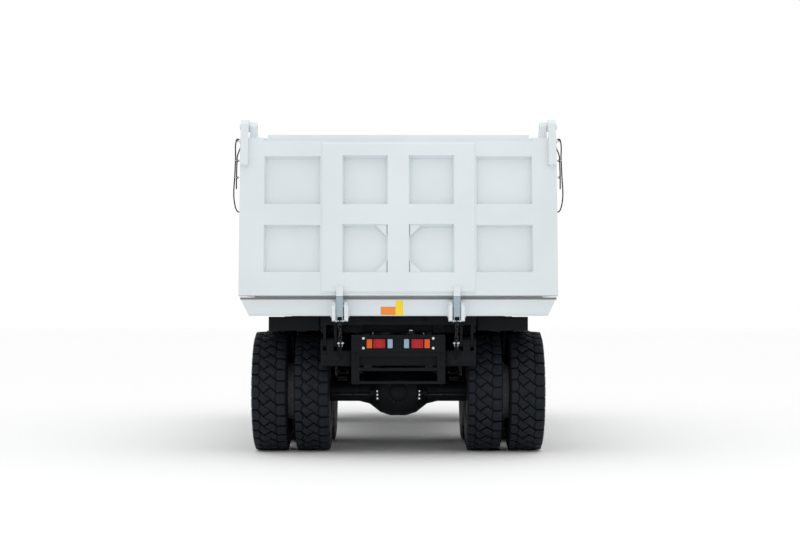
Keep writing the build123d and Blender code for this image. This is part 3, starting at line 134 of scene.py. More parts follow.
def turned(profile, steps=96):
    """A ring turned about the X axis; profile is (x, radius)."""
    clear_selection()
    bpy.ops.mesh.primitive_circle_add(vertices=len(profile), radius=1.0, fill_type="NOTHING")
    made = bpy.context.object
    for vertex, (x, radius) in zip(made.data.vertices, profile):
        vertex.co = (x, 0.0, radius)
    bpy.ops.object.mode_set(mode="EDIT")
    bpy.ops.mesh.select_all(action="SELECT")
    bpy.ops.mesh.spin(steps=steps, angle=math.tau, center=(0, 0, 0), axis=(1, 0, 0))
    bpy.ops.mesh.select_all(action="SELECT")
    bpy.ops.mesh.remove_doubles(threshold=0.00001)
    bpy.ops.mesh.normals_make_consistent(inside=False)
    bpy.ops.object.mode_set(mode="OBJECT")
    return made


def flat_face(outline):
    """One face through an outline's corners, at Z = 0, selected in edit mode."""
    clear_selection()
    bpy.ops.mesh.primitive_circle_add(vertices=len(outline), radius=1.0, fill_type="NGON")
    made = bpy.context.object
    for vertex, (x, y) in zip(made.data.vertices, outline):
        vertex.co = (x, y, 0.0)
    bpy.ops.object.mode_set(mode="EDIT")
    bpy.ops.mesh.select_all(action="SELECT")
    return made


def thickened(face, depth):
    """Gives a selected face its depth along Z, and leaves edit mode."""
    bpy.ops.mesh.extrude_region_move(TRANSFORM_OT_translate={"value": (0, 0, depth)})
    bpy.ops.mesh.select_all(action="SELECT")
    bpy.ops.mesh.normals_make_consistent(inside=False)
    bpy.ops.object.mode_set(mode="OBJECT")
    return face


def plate(outline, depth, frame_of_plate=Matrix.Identity(4), edge=0.0, segments=2):
    """A flat plate from an outline in its own X and Y, thick along its own Z."""
    made = thickened(flat_face(outline), depth)
    if edge:
        round_edges(made, edge, segments)
    return moved(made, frame_of_plate)


def cut_across(piece, places, direction):
    """Cuts through a piece's faces at each place, square to a direction."""
    use(piece)
    bpy.ops.object.mode_set(mode="EDIT")
    for place in places:
        bpy.ops.mesh.select_all(action="SELECT")
        bpy.ops.mesh.bisect(plane_co=place, plane_no=direction)
    bpy.ops.object.mode_set(mode="OBJECT")
    return piece


def joined(pieces):
    """Several meshes made one."""
    clear_selection()
    for piece in pieces:
        piece.select_set(True)
    bpy.context.view_layer.objects.active = pieces[0]
    if len(pieces) > 1:
        bpy.ops.object.join()
    return pieces[0]


def copies(pattern, places):
    """A copy of a pattern, with its own mesh, at each place; the pattern itself goes."""
    made = []
    for place in places:
        copy = pattern.copy()
        copy.data = pattern.data.copy()
        copy.data.transform(place)
        bpy.context.scene.collection.objects.link(copy)
        made.append(copy)
    bpy.data.objects.remove(pattern)
    return made


def finished(pieces, name, body, finish, *, smooth=35.0, replaces=()):
    """Joins, names and paints a piece, and lets it ride on its body.
    """
    piece = joined(pieces if isinstance(pieces, list) else [pieces])
    piece.name = name
    piece.data.name = name
    piece.data.materials.clear()
    piece.data.materials.append(FINISHES[finish])
    use(piece)
    bpy.ops.object.shade_smooth_by_angle(angle=math.radians(smooth))
    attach(piece, body)
    if replaces:
        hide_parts(*replaces)
    return piece


def bent_bar(points, radius, sides=3, closed=False):
    """A round bar bent along points, as a mesh."""
    clear_selection()
    line = bpy.data.curves.new("bar", "CURVE")
    line.dimensions = "3D"
    spline = line.splines.new("NURBS")
    spline.points.add(len(points) - 1)
    for knot, place in zip(spline.points, points):
        knot.co = (*place, 1.0)
    spline.order_u = 3
    spline.use_cyclic_u = closed
    spline.use_endpoint_u = not closed
    spline.resolution_u = 4
    line.bevel_depth = radius
    line.bevel_resolution = sides
    line.use_fill_caps = not closed
    bar = bpy.data.objects.new("bar", line)
    bpy.context.scene.collection.objects.link(bar)
    use(bar)
    bpy.ops.object.convert(target="MESH")
    return bpy.context.object


def facing(place, direction):
    """The place and turn that lay a pattern's Z along a direction."""
    turn = Vector(direction).to_track_quat("Z", "Y").to_matrix().to_4x4()
    return Matrix.Translation(place) @ turn


def hexagon_bolt(width, height):
    """A bolt's head on its washer, standing on the origin."""
    washer = rod((0, 0, -0.001), (0, 0, 0.003), width * 0.95, 24, 0.0006, 1)
    head = rod((0, 0, 0.002), (0, 0, 0.003 + height), width * 0.577, 6, height * 0.12, 1)
    return joined([washer, head])


def bolts(width, height, places, name, body, finish="zinc"):
    """Bolts in every place, as one piece."""
    return finished(
        copies(hexagon_bolt(width, height), places), name, body, finish, smooth=30.0)


def moved(piece, *moves):
    """A piece with its mesh moved, by the last move first."""
    for move in reversed(moves):
        piece.data.transform(move)
    return piece


def turned_round(profile, place, direction, steps):
    """A turned ring whose axis lies along a direction."""
    return moved(turned(profile, steps), facing(place, direction) @ UPRIGHT)


# Finishes


class Finish:
    """Builds one procedural material, node by node."""

    def __init__(self, name):
        self.material = bpy.data.materials.new(name)
        self.material.use_nodes = True
        self.tree = self.material.node_tree
        self.shader = self.tree.nodes["Principled BSDF"]
        self.place = self.tree.nodes.new("ShaderNodeTexCoord").outputs["Object"]

    def node(self, kind, inputs, **settings):
        made = self.tree.nodes.new(kind)
        for key, value in settings.items():
            setattr(made, key, value)
        for key, value in inputs.items():
            if isinstance(value, bpy.types.NodeSocket):
                self.tree.links.new(value, made.inputs[key])
            else:
                made.inputs[key].default_value = value
        return made

    def noise(self, scale, detail=4.0, roughness=0.55):
        return self.node("ShaderNodeTexNoise", {
            "Vector": self.place, "Scale": scale, "Detail": detail,
            "Roughness": roughness}).outputs["Fac"]

    def ramp(self, factor, low, high, stops=(0.0, 1.0)):
        made = self.node("ShaderNodeValToRGB", {"Fac": factor})
        first, last = made.color_ramp.elements
        first.position, last.position = stops
        first.color, last.color = low, high
        return made.outputs["Color"]

    def spread(self, factor, low, high, start=0.0, end=1.0):
        return self.node("ShaderNodeMapRange", {
            "Value": factor, "From Min": start, "From Max": end,
            "To Min": low, "To Max": high}).outputs["Result"]

    def product(self, one, other):
        return self.node("ShaderNodeMath", {0: one, 1: other}, operation="MULTIPLY").outputs[0]

    def mix(self, factor, one, other):
        return self.node(
            "ShaderNodeMix", {0: factor, 6: one, 7: other}, data_type="RGBA").outputs[2]

    def height(self):
        """How high a point stands over the ground."""
        return self.node("ShaderNodeSeparateXYZ", {0: self.place}).outputs["Z"]

    def crease(self, distance):
        """Ambient occlusion: dark where surfaces meet, light where they are open; mixed into a colour
        it is painted shade.
        """
        return self.node(
            "ShaderNodeAmbientOcclusion", {"Distance": distance}, samples=4).outputs["AO"]

    def edge(self, width):
        """1 on edges and 0 elsewhere: the mask of a painted highlight."""
        bent = self.node("ShaderNodeBevel", {"Radius": width}, samples=4).outputs["Normal"]
        flat = self.node("ShaderNodeNewGeometry", {}).outputs["Normal"]
        dot = self.node("ShaderNodeVectorMath", {0: bent, 1: flat}, operation="DOT_PRODUCT")
        return self.spread(dot.outputs["Value"], 1.0, 0.0, 0.75, 0.98)

    def bump(self, height, strength, distance):
        made = self.node("ShaderNodeBump", {
            "Height": height, "Strength": strength, "Distance": distance})
        self.tree.links.new(made.outputs["Normal"], self.shader.inputs["Normal"])

    def link(self, socket, key):
        self.tree.links.new(socket, self.shader.inputs[key])

    def mottle(self, drift, color, low, high, stops=(0.0, 1.0)):
        """The base colour, darker and lighter as a noise drifts."""
        self.link(self.ramp(drift, tone(color, low), tone(color, high), stops), "Base Color")

    def gloss(self, scale, low, high, detail=4.0):
        """The roughness, uneven between two values."""
        self.link(self.spread(self.noise(scale, detail), low, high), "Roughness")

    def done(self, **values):
        for key, value in values.items():
            self.shader.inputs[key.replace("_", " ")].default_value = value
        return self.material


def tone(color, factor=1.0):
    return (color[0] * factor, color[1] * factor, color[2] * factor, 1.0)


def sprayed_paint(name, color, roughness, coat=0.0):
    """Sprayed paint: faint drift of tone, orange peel and uneven gloss."""
    finish = Finish(name)
    finish.mottle(finish.noise(0.8, 3.0), color, 0.955, 1.02, (0.35, 0.65))
    finish.gloss(4.0, roughness * 0.8, roughness * 1.25, 5.0)
    finish.bump(finish.noise(260.0, 2.0), 0.10, 0.0006)
    return finish.done(Coat_Weight=coat, Coat_Roughness=0.15)


def dusty_paint(name, color, roughness, dust, dust_height):
    """Chassis paint with patches of road dust that thin out upwards."""
    finish = Finish(name)
    low = finish.spread(finish.height(), 0.5, 0.0, 0.2, dust_height)
    patches = finish.spread(finish.noise(7.0, 6.0, 0.65), 0.0, 1.0, 0.42, 0.72)
    cover = finish.product(low, patches)
    finish.link(finish.mix(cover, tone(color), tone(dust)), "Base Color")
    finish.gloss(5.0, roughness * 0.8, roughness * 1.3)
    finish.bump(finish.noise(180.0, 3.0), 0.18, 0.0008)
    return finish.done(Specular_IOR_Level=0.14)


def cast_iron(name, color, roughness):
    """Sand-cast metal under paint: a grainy skin."""
    finish = Finish(name)
    finish.mottle(finish.noise(9.0, 6.0), color, 0.8, 1.2)
    finish.gloss(30.0, roughness * 0.85, roughness * 1.15)
    finish.bump(finish.noise(420.0, 4.0, 0.7), 0.35, 0.0012)
    return finish.done(Specular_IOR_Level=0.14)


def plated_steel(name, color, roughness):
    """Zinc or bare steel, with fine stains."""
    finish = Finish(name)
    finish.mottle(finish.noise(60.0, 5.0), color, 0.75, 1.1)
    finish.gloss(90.0, roughness * 0.8, roughness * 1.3)
    finish.bump(finish.noise(600.0, 2.0), 0.12, 0.0004)
    return finish.done(Metallic=1.0)


def tyre_rubber(name, color):
    """Black rubber: mould grain, a little dust in patches, painted shade in the grooves and creases,
    and a painted highlight on the edges.
    """
    finish = Finish(name)
    grain = finish.ramp(finish.noise(14.0, 6.0), tone(color, 0.8), tone(color, 1.35), (0.3, 0.7))
    dust = finish.spread(finish.noise(5.0, 5.0, 0.6), 0.0, 0.25, 0.45, 0.75)
    dusty = finish.mix(dust, grain, (0.018, 0.020, 0.022, 1.0))
    # painted shade: the colour goes near black where ambient occlusion finds grooves and creases
    depth = finish.spread(finish.crease(0.035), 0.0, 1.0, 0.45, 0.92)
    # painted highlight: the edges turn a lighter, bluer grey
    painted_edge_highlight = finish.mix(finish.edge(0.006), dusty, (0.026, 0.031, 0.038, 1.0))
    finish.link(finish.mix(depth, (0.0008, 0.001, 0.0013, 1.0), painted_edge_highlight), "Base Color")
    finish.gloss(25.0, 0.46, 0.66)
    finish.bump(finish.noise(330.0, 4.0, 0.7), 0.22, 0.0009)
    return finish.done(Specular_IOR_Level=0.12)


def lens(name, color, ribs):
    """A moulded lamp lens with fine upright ribs."""
    finish = Finish(name)
    wave = finish.node("ShaderNodeTexWave", {
        "Vector": finish.place, "Scale": ribs, "Distortion": 0.0}, bands_direction="X")
    finish.bump(wave.outputs["Fac"], 0.35, 0.002)
    finish.mottle(wave.outputs["Fac"], color, 0.62, 1.15)
    finish.gloss(60.0, 0.12, 0.22)
    return finish.done(Coat_Weight=0.15, Coat_Roughness=0.08, Specular_IOR_Level=0.25)


def blank_plate(name, color):
    """A plain coloured plate, printed with nothing, its colour a little uneven."""
    finish = Finish(name)
    finish.mottle(finish.noise(18.0), color, 0.93, 1.05)
    finish.gloss(40.0, 0.28, 0.42)
    finish.bump(finish.noise(300.0, 2.0), 0.08, 0.0004)
    return finish.done(Coat_Weight=0.3)


def cab_glass(name):
    finish = Finish(name)
    finish.link(finish.ramp(
        finish.noise(3.0), (0.62, 0.72, 0.71, 1), (0.7, 0.78, 0.77, 1)), "Base Color")
    finish.gloss(8.0, 0.02, 0.06)
    return finish.done(Transmission_Weight=1.0, IOR=1.45)


def seat_fabric(name, color):
    finish = Finish(name)
    weave = finish.node("ShaderNodeTexWave", {
        "Vector": finish.place, "Scale": 160.0, "Distortion": 1.0}, bands_direction="DIAGONAL")
    finish.mottle(finish.noise(12.0), color, 0.7, 1.3)
    finish.bump(weave.outputs["Fac"], 0.3, 0.0008)
    finish.gloss(30.0, 0.75, 0.9)
    return finish.done()


# Sizes and colours that a user would change


class PaintSettings(bpy.types.PropertyGroup):
    """Colours of the paint and rubber."""

    bed: FloatVectorProperty(
        name="Bed", description="Paint of the bed and tailgate", subtype="COLOR",
        default=(0.71, 0.765, 0.79), min=0, max=1)
    chassis: FloatVectorProperty(
        name="Chassis", description="Paint of the frame and axles", subtype="COLOR",
        default=(0.003, 0.004, 0.0055), min=0, max=1)
    cab: FloatVectorProperty(
        name="Cab", description="Paint of the cab", subtype="COLOR",
        default=(0.71, 0.755, 0.775), min=0, max=1)
    rim: FloatVectorProperty(
        name="Rims", description="Paint of the wheels' rims", subtype="COLOR",
        default=(0.16, 0.17, 0.18), min=0, max=1)
    rail: FloatVectorProperty(
        name="Handrails", description="Paint of the handrails", subtype="COLOR",
        default=(0.75, 0.42, 0.02), min=0, max=1)
    rubber: FloatVectorProperty(
        name="Rubber", description="Colour of the tyres", subtype="COLOR",
        default=(0.009, 0.0125, 0.0165), min=0, max=1)
    dust: FloatVectorProperty(
        name="Dust", description="Colour of the dust low on the chassis", subtype="COLOR",
        default=(0.014, 0.014, 0.014), min=0, max=1)


class TyreSettings(bpy.types.PropertyGroup):
    """Sizes of the tyres' tread."""

    pitches: IntProperty(
        name="Pitches", description="Tread blocks round one tyre, along a row",
        default=32, min=12, max=60)
    depth: FloatProperty(
        name="Groove depth", description="Depth of the tread's grooves",
        default=0.024, min=0.005, max=0.04, subtype="DISTANCE", unit="LENGTH")
    groove: FloatProperty(
        name="Groove width", description="Width of the zigzag grooves across the tread",
        default=0.021, min=0.003, max=0.03, subtype="DISTANCE", unit="LENGTH")
    sipe: FloatProperty(
        name="Sipe width", description="Width of the narrow grooves between two zigzags",
        default=0.008, min=0.003, max=0.03, subtype="DISTANCE", unit="LENGTH")


class LampSettings(bpy.types.PropertyGroup):
    """The clusters on the lamp board."""

    foot: FloatProperty(
        name="Foot", description="Height of the lenses' lower edge", default=1.193,
        subtype="DISTANCE", unit="LENGTH")
    height: FloatProperty(
        name="Height", description="Height of the lenses", default=0.105,
        subtype="DISTANCE", unit="LENGTH")
    depth: FloatProperty(
        name="Depth", description="How far the lenses stand out of the board", default=0.028,
        subtype="DISTANCE", unit="LENGTH")
    orange: FloatVectorProperty(
        name="Turn lamp", description="Colour of the outer lens", subtype="COLOR",
        default=(0.80, 0.12, 0.012), min=0, max=1)
    red: FloatVectorProperty(
        name="Tail lamp", description="Colour of the middle lens", subtype="COLOR",
        default=(0.50, 0.006, 0.012), min=0, max=1)
    white: FloatVectorProperty(
        name="Reverse lamp", description="Colour of the inner lens", subtype="COLOR",
        default=(0.34, 0.48, 0.60), min=0, max=1)


class StudioSettings(bpy.types.PropertyGroup):
    """Camera and lights."""

    camera_y: FloatProperty(
        name="Camera distance", description="Where the camera stands behind the truck",
        default=-22.18, subtype="DISTANCE", unit="LENGTH")
    camera_height: FloatProperty(
        name="Camera height", description="Height of the camera over the ground",
        default=1.583, subtype="DISTANCE", unit="LENGTH")
    lens: FloatProperty(
        name="Focal length", description="Focal length of the camera, in millimetres",
        default=74.75, min=10)
    sky: FloatProperty(
        name="Sky", description="Strength of the even light all round", default=1.0, min=0)
    overhead: FloatProperty(
        name="Overhead lamp", description="Power of the soft lamp over the truck",
        default=160.0, min=0, subtype="POWER", unit="POWER")


FINISHES = {}
# nodes whose finish isn't the usual one of their slot
UNLIKE_SLOT = {
    "latch_left": "latch_coat", "latch_right": "latch_coat", "bed_subframe": "chassis_black",
}


class TRUCK_OT_mix_finishes(bpy.types.Operator):
    """Mix every paint, rubber, metal and lens of the truck"""

    bl_idname = "truck.mix_finishes"
    bl_label = "Mix finishes"

    def execute(self, context):
        paint = context.scene.truck_paint
        lamps = context.scene.truck_lamps
        FINISHES.update({
            "bed_white": sprayed_paint("bed_paint", paint.bed, 0.36, 0.2),
            "cab_paint": sprayed_paint("cab_paint", paint.cab, 0.22, 0.5),
            "chassis_black": dusty_paint(
                "chassis_paint", paint.chassis, 0.42, paint.dust, 1.3),
            "axle_black": cast_iron("axle_paint", paint.chassis, 0.5),
            "spring_steel": dusty_paint("spring_paint", paint.chassis, 0.5, paint.dust, 1.2),
            "engine_grey": cast_iron("engine_paint", (0.20, 0.21, 0.22), 0.5),
            "rubber_tyre": tyre_rubber("tyre_rubber", paint.rubber),
            "rim_grey": dusty_paint("rim_paint", paint.rim, 0.4, paint.dust, 1.6),
            "rod_chrome": plated_steel("rod_chrome", (0.72, 0.73, 0.74), 0.12),
            "bare_steel": plated_steel("bare_steel", (0.42, 0.42, 0.43), 0.38),
            "lens_red": lens("lens_red", lamps.red, 55.0),
            "lens_orange": lens("lens_orange", lamps.orange, 55.0),
            "lens_white": lens("lens_white", lamps.white, 40.0),
            "lens_clear": lens("lens_clear", (0.7, 0.73, 0.75), 30.0),
            "clear_glass": cab_glass("cab_glass"),
            "seat_black": seat_fabric("seat_fabric", (0.03, 0.032, 0.035)),
            "rope_black": tyre_rubber("rope_black", (0.012, 0.013, 0.014)),
            "rail_yellow": sprayed_paint("rail_paint", paint.rail, 0.35, 0.2),
            "zinc": plated_steel("zinc_plate", (0.78, 0.79, 0.80), 0.3),
            "worn_steel": plated_steel("worn_steel", (0.055, 0.058, 0.062), 0.45),
            "worn_strip": cast_iron("worn_strip", (0.22, 0.22, 0.21), 0.5),
            "latch_coat": plated_steel("latch_coat", (0.42, 0.50, 0.56), 0.5),
            "trim_black": cast_iron("trim_black", (0.012, 0.013, 0.015), 0.5),
            "orange_plate": blank_plate("orange_plate", (0.86, 0.25, 0.012)),
            "yellow_plate": blank_plate("yellow_plate", (0.90, 0.66, 0.012)),
        })
        for name, node in frame["nodes"].items():
            node.data.materials.clear()
            finish = UNLIKE_SLOT.get(name, CAD_SLOTS[name])
            node.data.materials.append(FINISHES[finish])
        return {"FINISHED"}


# Tyres

# half of a tyre's section outside the tread, from the bead: |x| from its middle, radius
SIDEWALL = (
    (0.160, 0.318), (0.166, 0.334), (0.178, 0.352), (0.1835, 0.368), (0.1885, 0.380),
    (0.1900, 0.396), (0.1945, 0.420), (0.1975, 0.450), (0.2000, 0.478), (0.2025, 0.488),
    (0.2025, 0.500), (0.2005, 0.512), (0.1990, 0.545), (0.1970, 0.575), (0.1955, 0.600),
    (0.1930, 0.622), (0.1850, 0.644),
)
# under the tread: x from its middle, and how far it lies under the grooves' floor there
CASING_CROWN = ((-0.150, 0.005), (-0.07, 0.001), (0.0, 0.0), (0.07, 0.001), (0.150, 0.005))
# one pitch of the tread laid flat: the zigzag groove across it, as x and the share of a pitch
# that it runs back, and the two bends of the grooves beside the rows of shoulder blocks
ZIGZAG = (
    (-0.186, 0.00), (-0.119, 0.00), (-0.060, -0.56), (0.024, -0.08), (0.091, -0.53),
    (0.186, -0.53),
)
LEFT_KNEE = (-0.093, -0.56)
RIGHT_KNEE = (0.071, -1.06)
TREAD_HALF_WIDTH = 0.186
BLOCK_EDGE = 0.0035
SHOULDER_FROM = 0.170
SHOULDER_FOOT = (0.1965, 0.628)
CROWN_DROP = 0.008
# how far each tyre's tread is turned on from the last one's
TYRE_TURN = 0.37


def tread_outlines(pitch, gap):
    """The four blocks of one pitch, as outlines of x and the way round the tyre.

    Each keeps gap from the zigzag grooves on both sides of it.
    """
    here = [(x, share * pitch - gap) for x, share in ZIGZAG]
    after = [(x, (share - 1) * pitch + gap) for x, share in ZIGZAG]
    left_knee = (LEFT_KNEE[0], LEFT_KNEE[1] * pitch)
    right_knee = (RIGHT_KNEE[0], RIGHT_KNEE[1] * pitch)
    return (
        (here[0], after[0], after[1], left_knee, here[1]),
        (here[1], left_knee, after[1], after[2], after[3], here[2]),
        (here[2], after[3], after[4], right_knee, here[4], here[3]),
        (here[4], right_knee, after[4], after[5], here[5]),
    )


def tread_block(outline, depth, groove):
    """One tread block, flat, standing on its foot below Z = 0."""
    made = flat_face(outline)
    # the outer ring, half a groove wide, goes
    bpy.ops.mesh.inset(thickness=groove / 2)
    bpy.ops.mesh.select_all(action="INVERT")
    bpy.ops.mesh.delete(type="VERT")
    bpy.ops.mesh.select_all(action="SELECT")
    return round_edges(thickened(made, -depth), BLOCK_EDGE)


def wrap_on_tyre(piece, depth):
    """Bends flat tread round the wheel's crown, its shoulders down the sidewall."""
    edge_x, foot_radius = SHOULDER_FOOT
    for vertex in piece.data.vertices:
        x, way, sunk = vertex.co
        radius = TYRE_RADIUS - CROWN_DROP * (x / TREAD_HALF_WIDTH) ** 2 + sunk
        if abs(x) > SHOULDER_FROM and sunk < -0.6 * depth:
            x = math.copysign(edge_x, x)
            radius = foot_radius
        angle = way / TYRE_RADIUS
        vertex.co = (x, radius * math.sin(angle), radius * math.cos(angle))


def tyre(sizes):
    """One whole tyre about the X axis."""
    pitch = math.tau * TYRE_RADIUS / sizes.pitches
    outlines = tread_outlines(pitch, (sizes.groove - sizes.sipe) / 2)
    blocks = [tread_block(outline, sizes.depth, sizes.sipe) for outline in outlines]
    tread = cut_across(joined(blocks), [(0, cut * pitch / 4, 0) for cut in range(-7, 1)], FORTH)
    wrap_on_tyre(tread, sizes.depth)
    use(tread)
    bpy.ops.object.mode_set(mode="EDIT")
    bpy.ops.mesh.select_all(action="SELECT")
    bpy.ops.mesh.spin(
        steps=sizes.pitches - 1, dupli=True, angle=math.tau * (1 - 1 / sizes.pitches),
        center=(0, 0, 0), axis=(1, 0, 0))
    bpy.ops.object.mode_set(mode="OBJECT")
    under = TYRE_RADIUS - sizes.depth + 0.002
    section = [(-x, radius) for x, radius in SIDEWALL]
    section += [(x, under - drop) for x, drop in CASING_CROWN]
    section += reversed(SIDEWALL)
    return joined([tread, turned(section, 124)])


class TRUCK_OT_tyres(bpy.types.Operator):
    """Model the ten tyres with their tread blocks"""

    bl_idname = "truck.tyres"
    bl_label = "Tyres"

    def execute(self, context):
        sizes = context.scene.truck_tyres
        # node's name, its axle's Y, the tyres' |X|, body
        sets = [("tyre_front", FRONT_AXLE_Y, FRONT_X, "wheel_front"),
                ("tyres_middle", MIDDLE_AXLE_Y, TWIN_X, "wheels_middle"),
                ("tyres_rear", REAR_AXLE_Y, TWIN_X, "wheels_rear")]
        pattern = tyre(sizes)
        count = 0
        for side, side_name in SIDES:
            for node, axle_y, middles, body in sets:
                places = []
                for middle in middles:
                    count += 1
                    turn = Matrix.Rotation(TYRE_TURN * count, 4, "X")
                    places.append(Matrix.Translation((side * middle, axle_y, WHEEL_Z)) @ turn)
                spare = pattern.copy()
                spare.data = pattern.data.copy()
                context.scene.collection.objects.link(spare)
                name = f"{node}_{side_name}"
                finished(
                    copies(spare, places), f"rubber_{name}", f"{body}_{side_name}",
                    "rubber_tyre", smooth=40.0, replaces=[name])
        bpy.data.objects.remove(pattern)
        return {"FINISHED"}


# Lamp board

BOARD_FACE_Y = -3.91
BOARD_BOLT_X = 0.384
# inner and outer |X| of each lens, and its finish
LENSES = (
    (0.060, 0.120, "white"), (0.143, 0.276, "red"), (0.285, 0.349, "orange"),
)


class TRUCK_OT_tail_lamps(bpy.types.Operator):
    """Model both lamp clusters and the bolts of the lamp board"""

    bl_idname = "truck.tail_lamps"
    bl_label = "Tail lamps"

    def execute(self, context):
        lamps = context.scene.truck_lamps
        middle_z = lamps.foot + lamps.height / 2
        housings, lenses = [], {"white": [], "red": [], "orange": []}
        for side, _ in SIDES:
            for inner, outer, colour in LENSES:
                x = side * (inner + outer) / 2
                width = outer - inner
                housings.append(block(
                    (x, BOARD_FACE_Y - 0.009, middle_z),
                    (width + 0.006, 0.018, lamps.height + 0.006), 0.003))
                lenses[colour].append(block(
                    (x, BOARD_FACE_Y - lamps.depth / 2 - 0.004, middle_z),
                    (width - 0.004, lamps.depth - 0.008, lamps.height - 0.004), 0.008, 3))
                if colour == "red":
                    for rib in (-0.3, 0.3):
                        housings.append(block(
                            (x + rib * width, BOARD_FACE_Y - lamps.depth / 2, middle_z),
                            (0.004, lamps.depth + 0.001, lamps.height * 0.96), 0.0015))
        finished(housings, "lamp_housings", "chassis", "chassis_black", replaces=["tail_lamps"])
        for colour, faces in lenses.items():
            finished(faces, f"lamp_lenses_{colour}", "chassis", f"lens_{colour}")
        bolts(0.015, 0.007, [
            facing((side * BOARD_BOLT_X, BOARD_FACE_Y, z), BACK)
            for side, _ in SIDES for z in (1.196, 1.303)], "lamp_board_bolts", "chassis")
        return {"FINISHED"}


# Blank plates on the sill

SILL_FACE_Y = -4.16
# low X, high X, low Z, high Z, finish
PLATES = (
    (-0.191, -0.030, 1.552, 1.650, "orange_plate"), (-0.028, 0.053, 1.552, 1.7175, "yellow_plate"),
)


class TRUCK_OT_blank_plates(bpy.types.Operator):
    """Lay the two blank plates on the rear sill"""

    bl_idname = "truck.blank_plates"
    bl_label = "Blank plates"

    def execute(self, context):
        for low_x, high_x, low_z, high_z, finish in PLATES:
            middle = ((low_x + high_x) / 2, SILL_FACE_Y - 0.0008, (low_z + high_z) / 2)
            base = block(middle, (high_x - low_x, 0.0016, high_z - low_z), 0.0005, 1)
            finished(base, f"blank_{finish}", "bed", finish)
        return {"FINISHED"}


# Axles and springs

RAIL_FACE_X = 0.500
AXLE_COVER_Y = -3.265
COVER_BOLTS = 14
COVER_BOLT_CIRCLE = 0.122
COVER_DOME = (
    (0.0, 0.0001), (0.0, 0.098), (0.010, 0.098), (0.018, 0.090), (0.030, 0.040), (0.034, 0.0001),
)
BRAKE_CHAMBER = (
    (-0.085, 0.0001), (-0.085, 0.050), (-0.070, 0.078), (-0.012, 0.084), (-0.010, 0.096),
    (0.010, 0.096), (0.012, 0.084), (0.070, 0.078), (0.085, 0.050), (0.085, 0.0001),
)
BRAKE_Z = 0.80
SPRING_X = (0.581, 0.691)
BOGIE_Y = -2.23
# half length of each leaf, the longest at the bottom
LEAVES = (0.90, 0.90, 0.77, 0.64, 0.51, 0.38, 0.26)
LEAF_THICKNESS = 0.0215
LEAF_PITCH = 0.0255
PACK_FOOT_Z = 0.862
PACK_DROP = 0.056
SADDLE_Z = 0.768
CAP_FACE_X = 0.722


def leaf(side, half_length, foot_z):
    """One spring leaf, bowed over the bogie's middle, its tips a little rounded."""
    shares = (0.2, 0.45, 0.7, 0.93, 1.0)
    steps = [-half_length * share for share in reversed(shares)] + [0.0]
    steps += [half_length * share for share in shares]

    def line(rise):
        return [
            (BOGIE_Y + along, foot_z + rise - PACK_DROP * (along / LEAVES[0]) ** 2)
            for along in steps]

    outline = line(0.0) + list(reversed(line(LEAF_THICKNESS)))
    across = Matrix(((0, 0, 1, side * SPRING_X[0]), (1, 0, 0, 0), (0, 1, 0, 0), (0, 0, 0, 1)))
    return plate(outline, side * (SPRING_X[1] - SPRING_X[0]), across, 0.002, 1)


class TRUCK_OT_leaf_springs(bpy.types.Operator):
    """Model the bogie's leaf packs with their clamps, saddles and the plates over the axles"""

    bl_idname = "truck.leaf_springs"
    bl_label = "Leaf springs"

    def execute(self, context):
        steel, nuts, lower = [], [], []
        top_z = PACK_FOOT_Z + (len(LEAVES) - 1) * LEAF_PITCH + LEAF_THICKNESS
        for side, _ in SIDES:
            inner, outer = SPRING_X
            middle = (inner + outer) / 2
            for number, half_length in enumerate(LEAVES):
                steel.append(leaf(side, half_length, PACK_FOOT_Z + number * LEAF_PITCH))
            # saddle on the trunnion, its round end cap and the bracket on the rail
            steel.append(block((side * middle, BOGIE_Y, SADDLE_Z), (0.130, 0.300, 0.184), 0.018, 3))
            steel.append(rod(
                (side * RAIL_FACE_X, BOGIE_Y, 0.790), (side * 0.575, BOGIE_Y, 0.790),
                0.090, 48, 0.006))
            steel.append(rod(
                (side * 0.690, BOGIE_Y, SADDLE_Z), (side * CAP_FACE_X, BOGIE_Y, SADDLE_Z),
                0.078, 48, 0.008))
            steel.append(block((side * 0.515, BOGIE_Y, 0.890), (0.030, 0.280, 0.380), 0.010))
            # clamp plate over the pack, with the U bolts round it
            steel.append(block(
                (side * middle, BOGIE_Y, top_z + 0.011), (0.150, 0.260, 0.022), 0.005))
            near, far, bar_z = side * (inner - 0.010), side * (outer + 0.010), top_z + 0.022
            for along in (-0.100, 0.100):
                legs = ((near, 0.655), (near, bar_z), (near + side * 0.014, bar_z + 0.012),
                        (far - side * 0.014, bar_z + 0.012), (far, bar_z), (far, 0.655))
                steel.append(bent_bar([(x, BOGIE_Y + along, z) for x, z in legs], 0.009))
                nuts += [facing((x, BOGIE_Y + along, 0.672), DOWN) for x in (near, far)]
            for step in range(6):
                turn = math.tau * step / 6
                nuts.append(facing(
                    (side * CAP_FACE_X, BOGIE_Y + 0.055 * math.cos(turn),
                     SADDLE_Z + 0.055 * math.sin(turn)), (side, 0, 0)))
            # plates under the packs' ends, over each axle
            for axle_y in (REAR_AXLE_Y, MIDDLE_AXLE_Y):
                lower.append(block((side * middle, axle_y, 0.893), (0.140, 0.120, 0.016)))
                nuts += [facing((side * (middle + x), axle_y + y, 0.901), UP)
                         for x in (-0.05, 0.05) for y in (-0.04, 0.04)]
        finished(steel, "leaf_packs", "chassis", "spring_steel", replaces=["leaf_springs"])
        finished(lower, "spring_end_plates", "chassis", "spring_steel")
        bolts(0.026, 0.015, nuts, "spring_nuts", "chassis", "worn_steel")
        return {"FINISHED"}


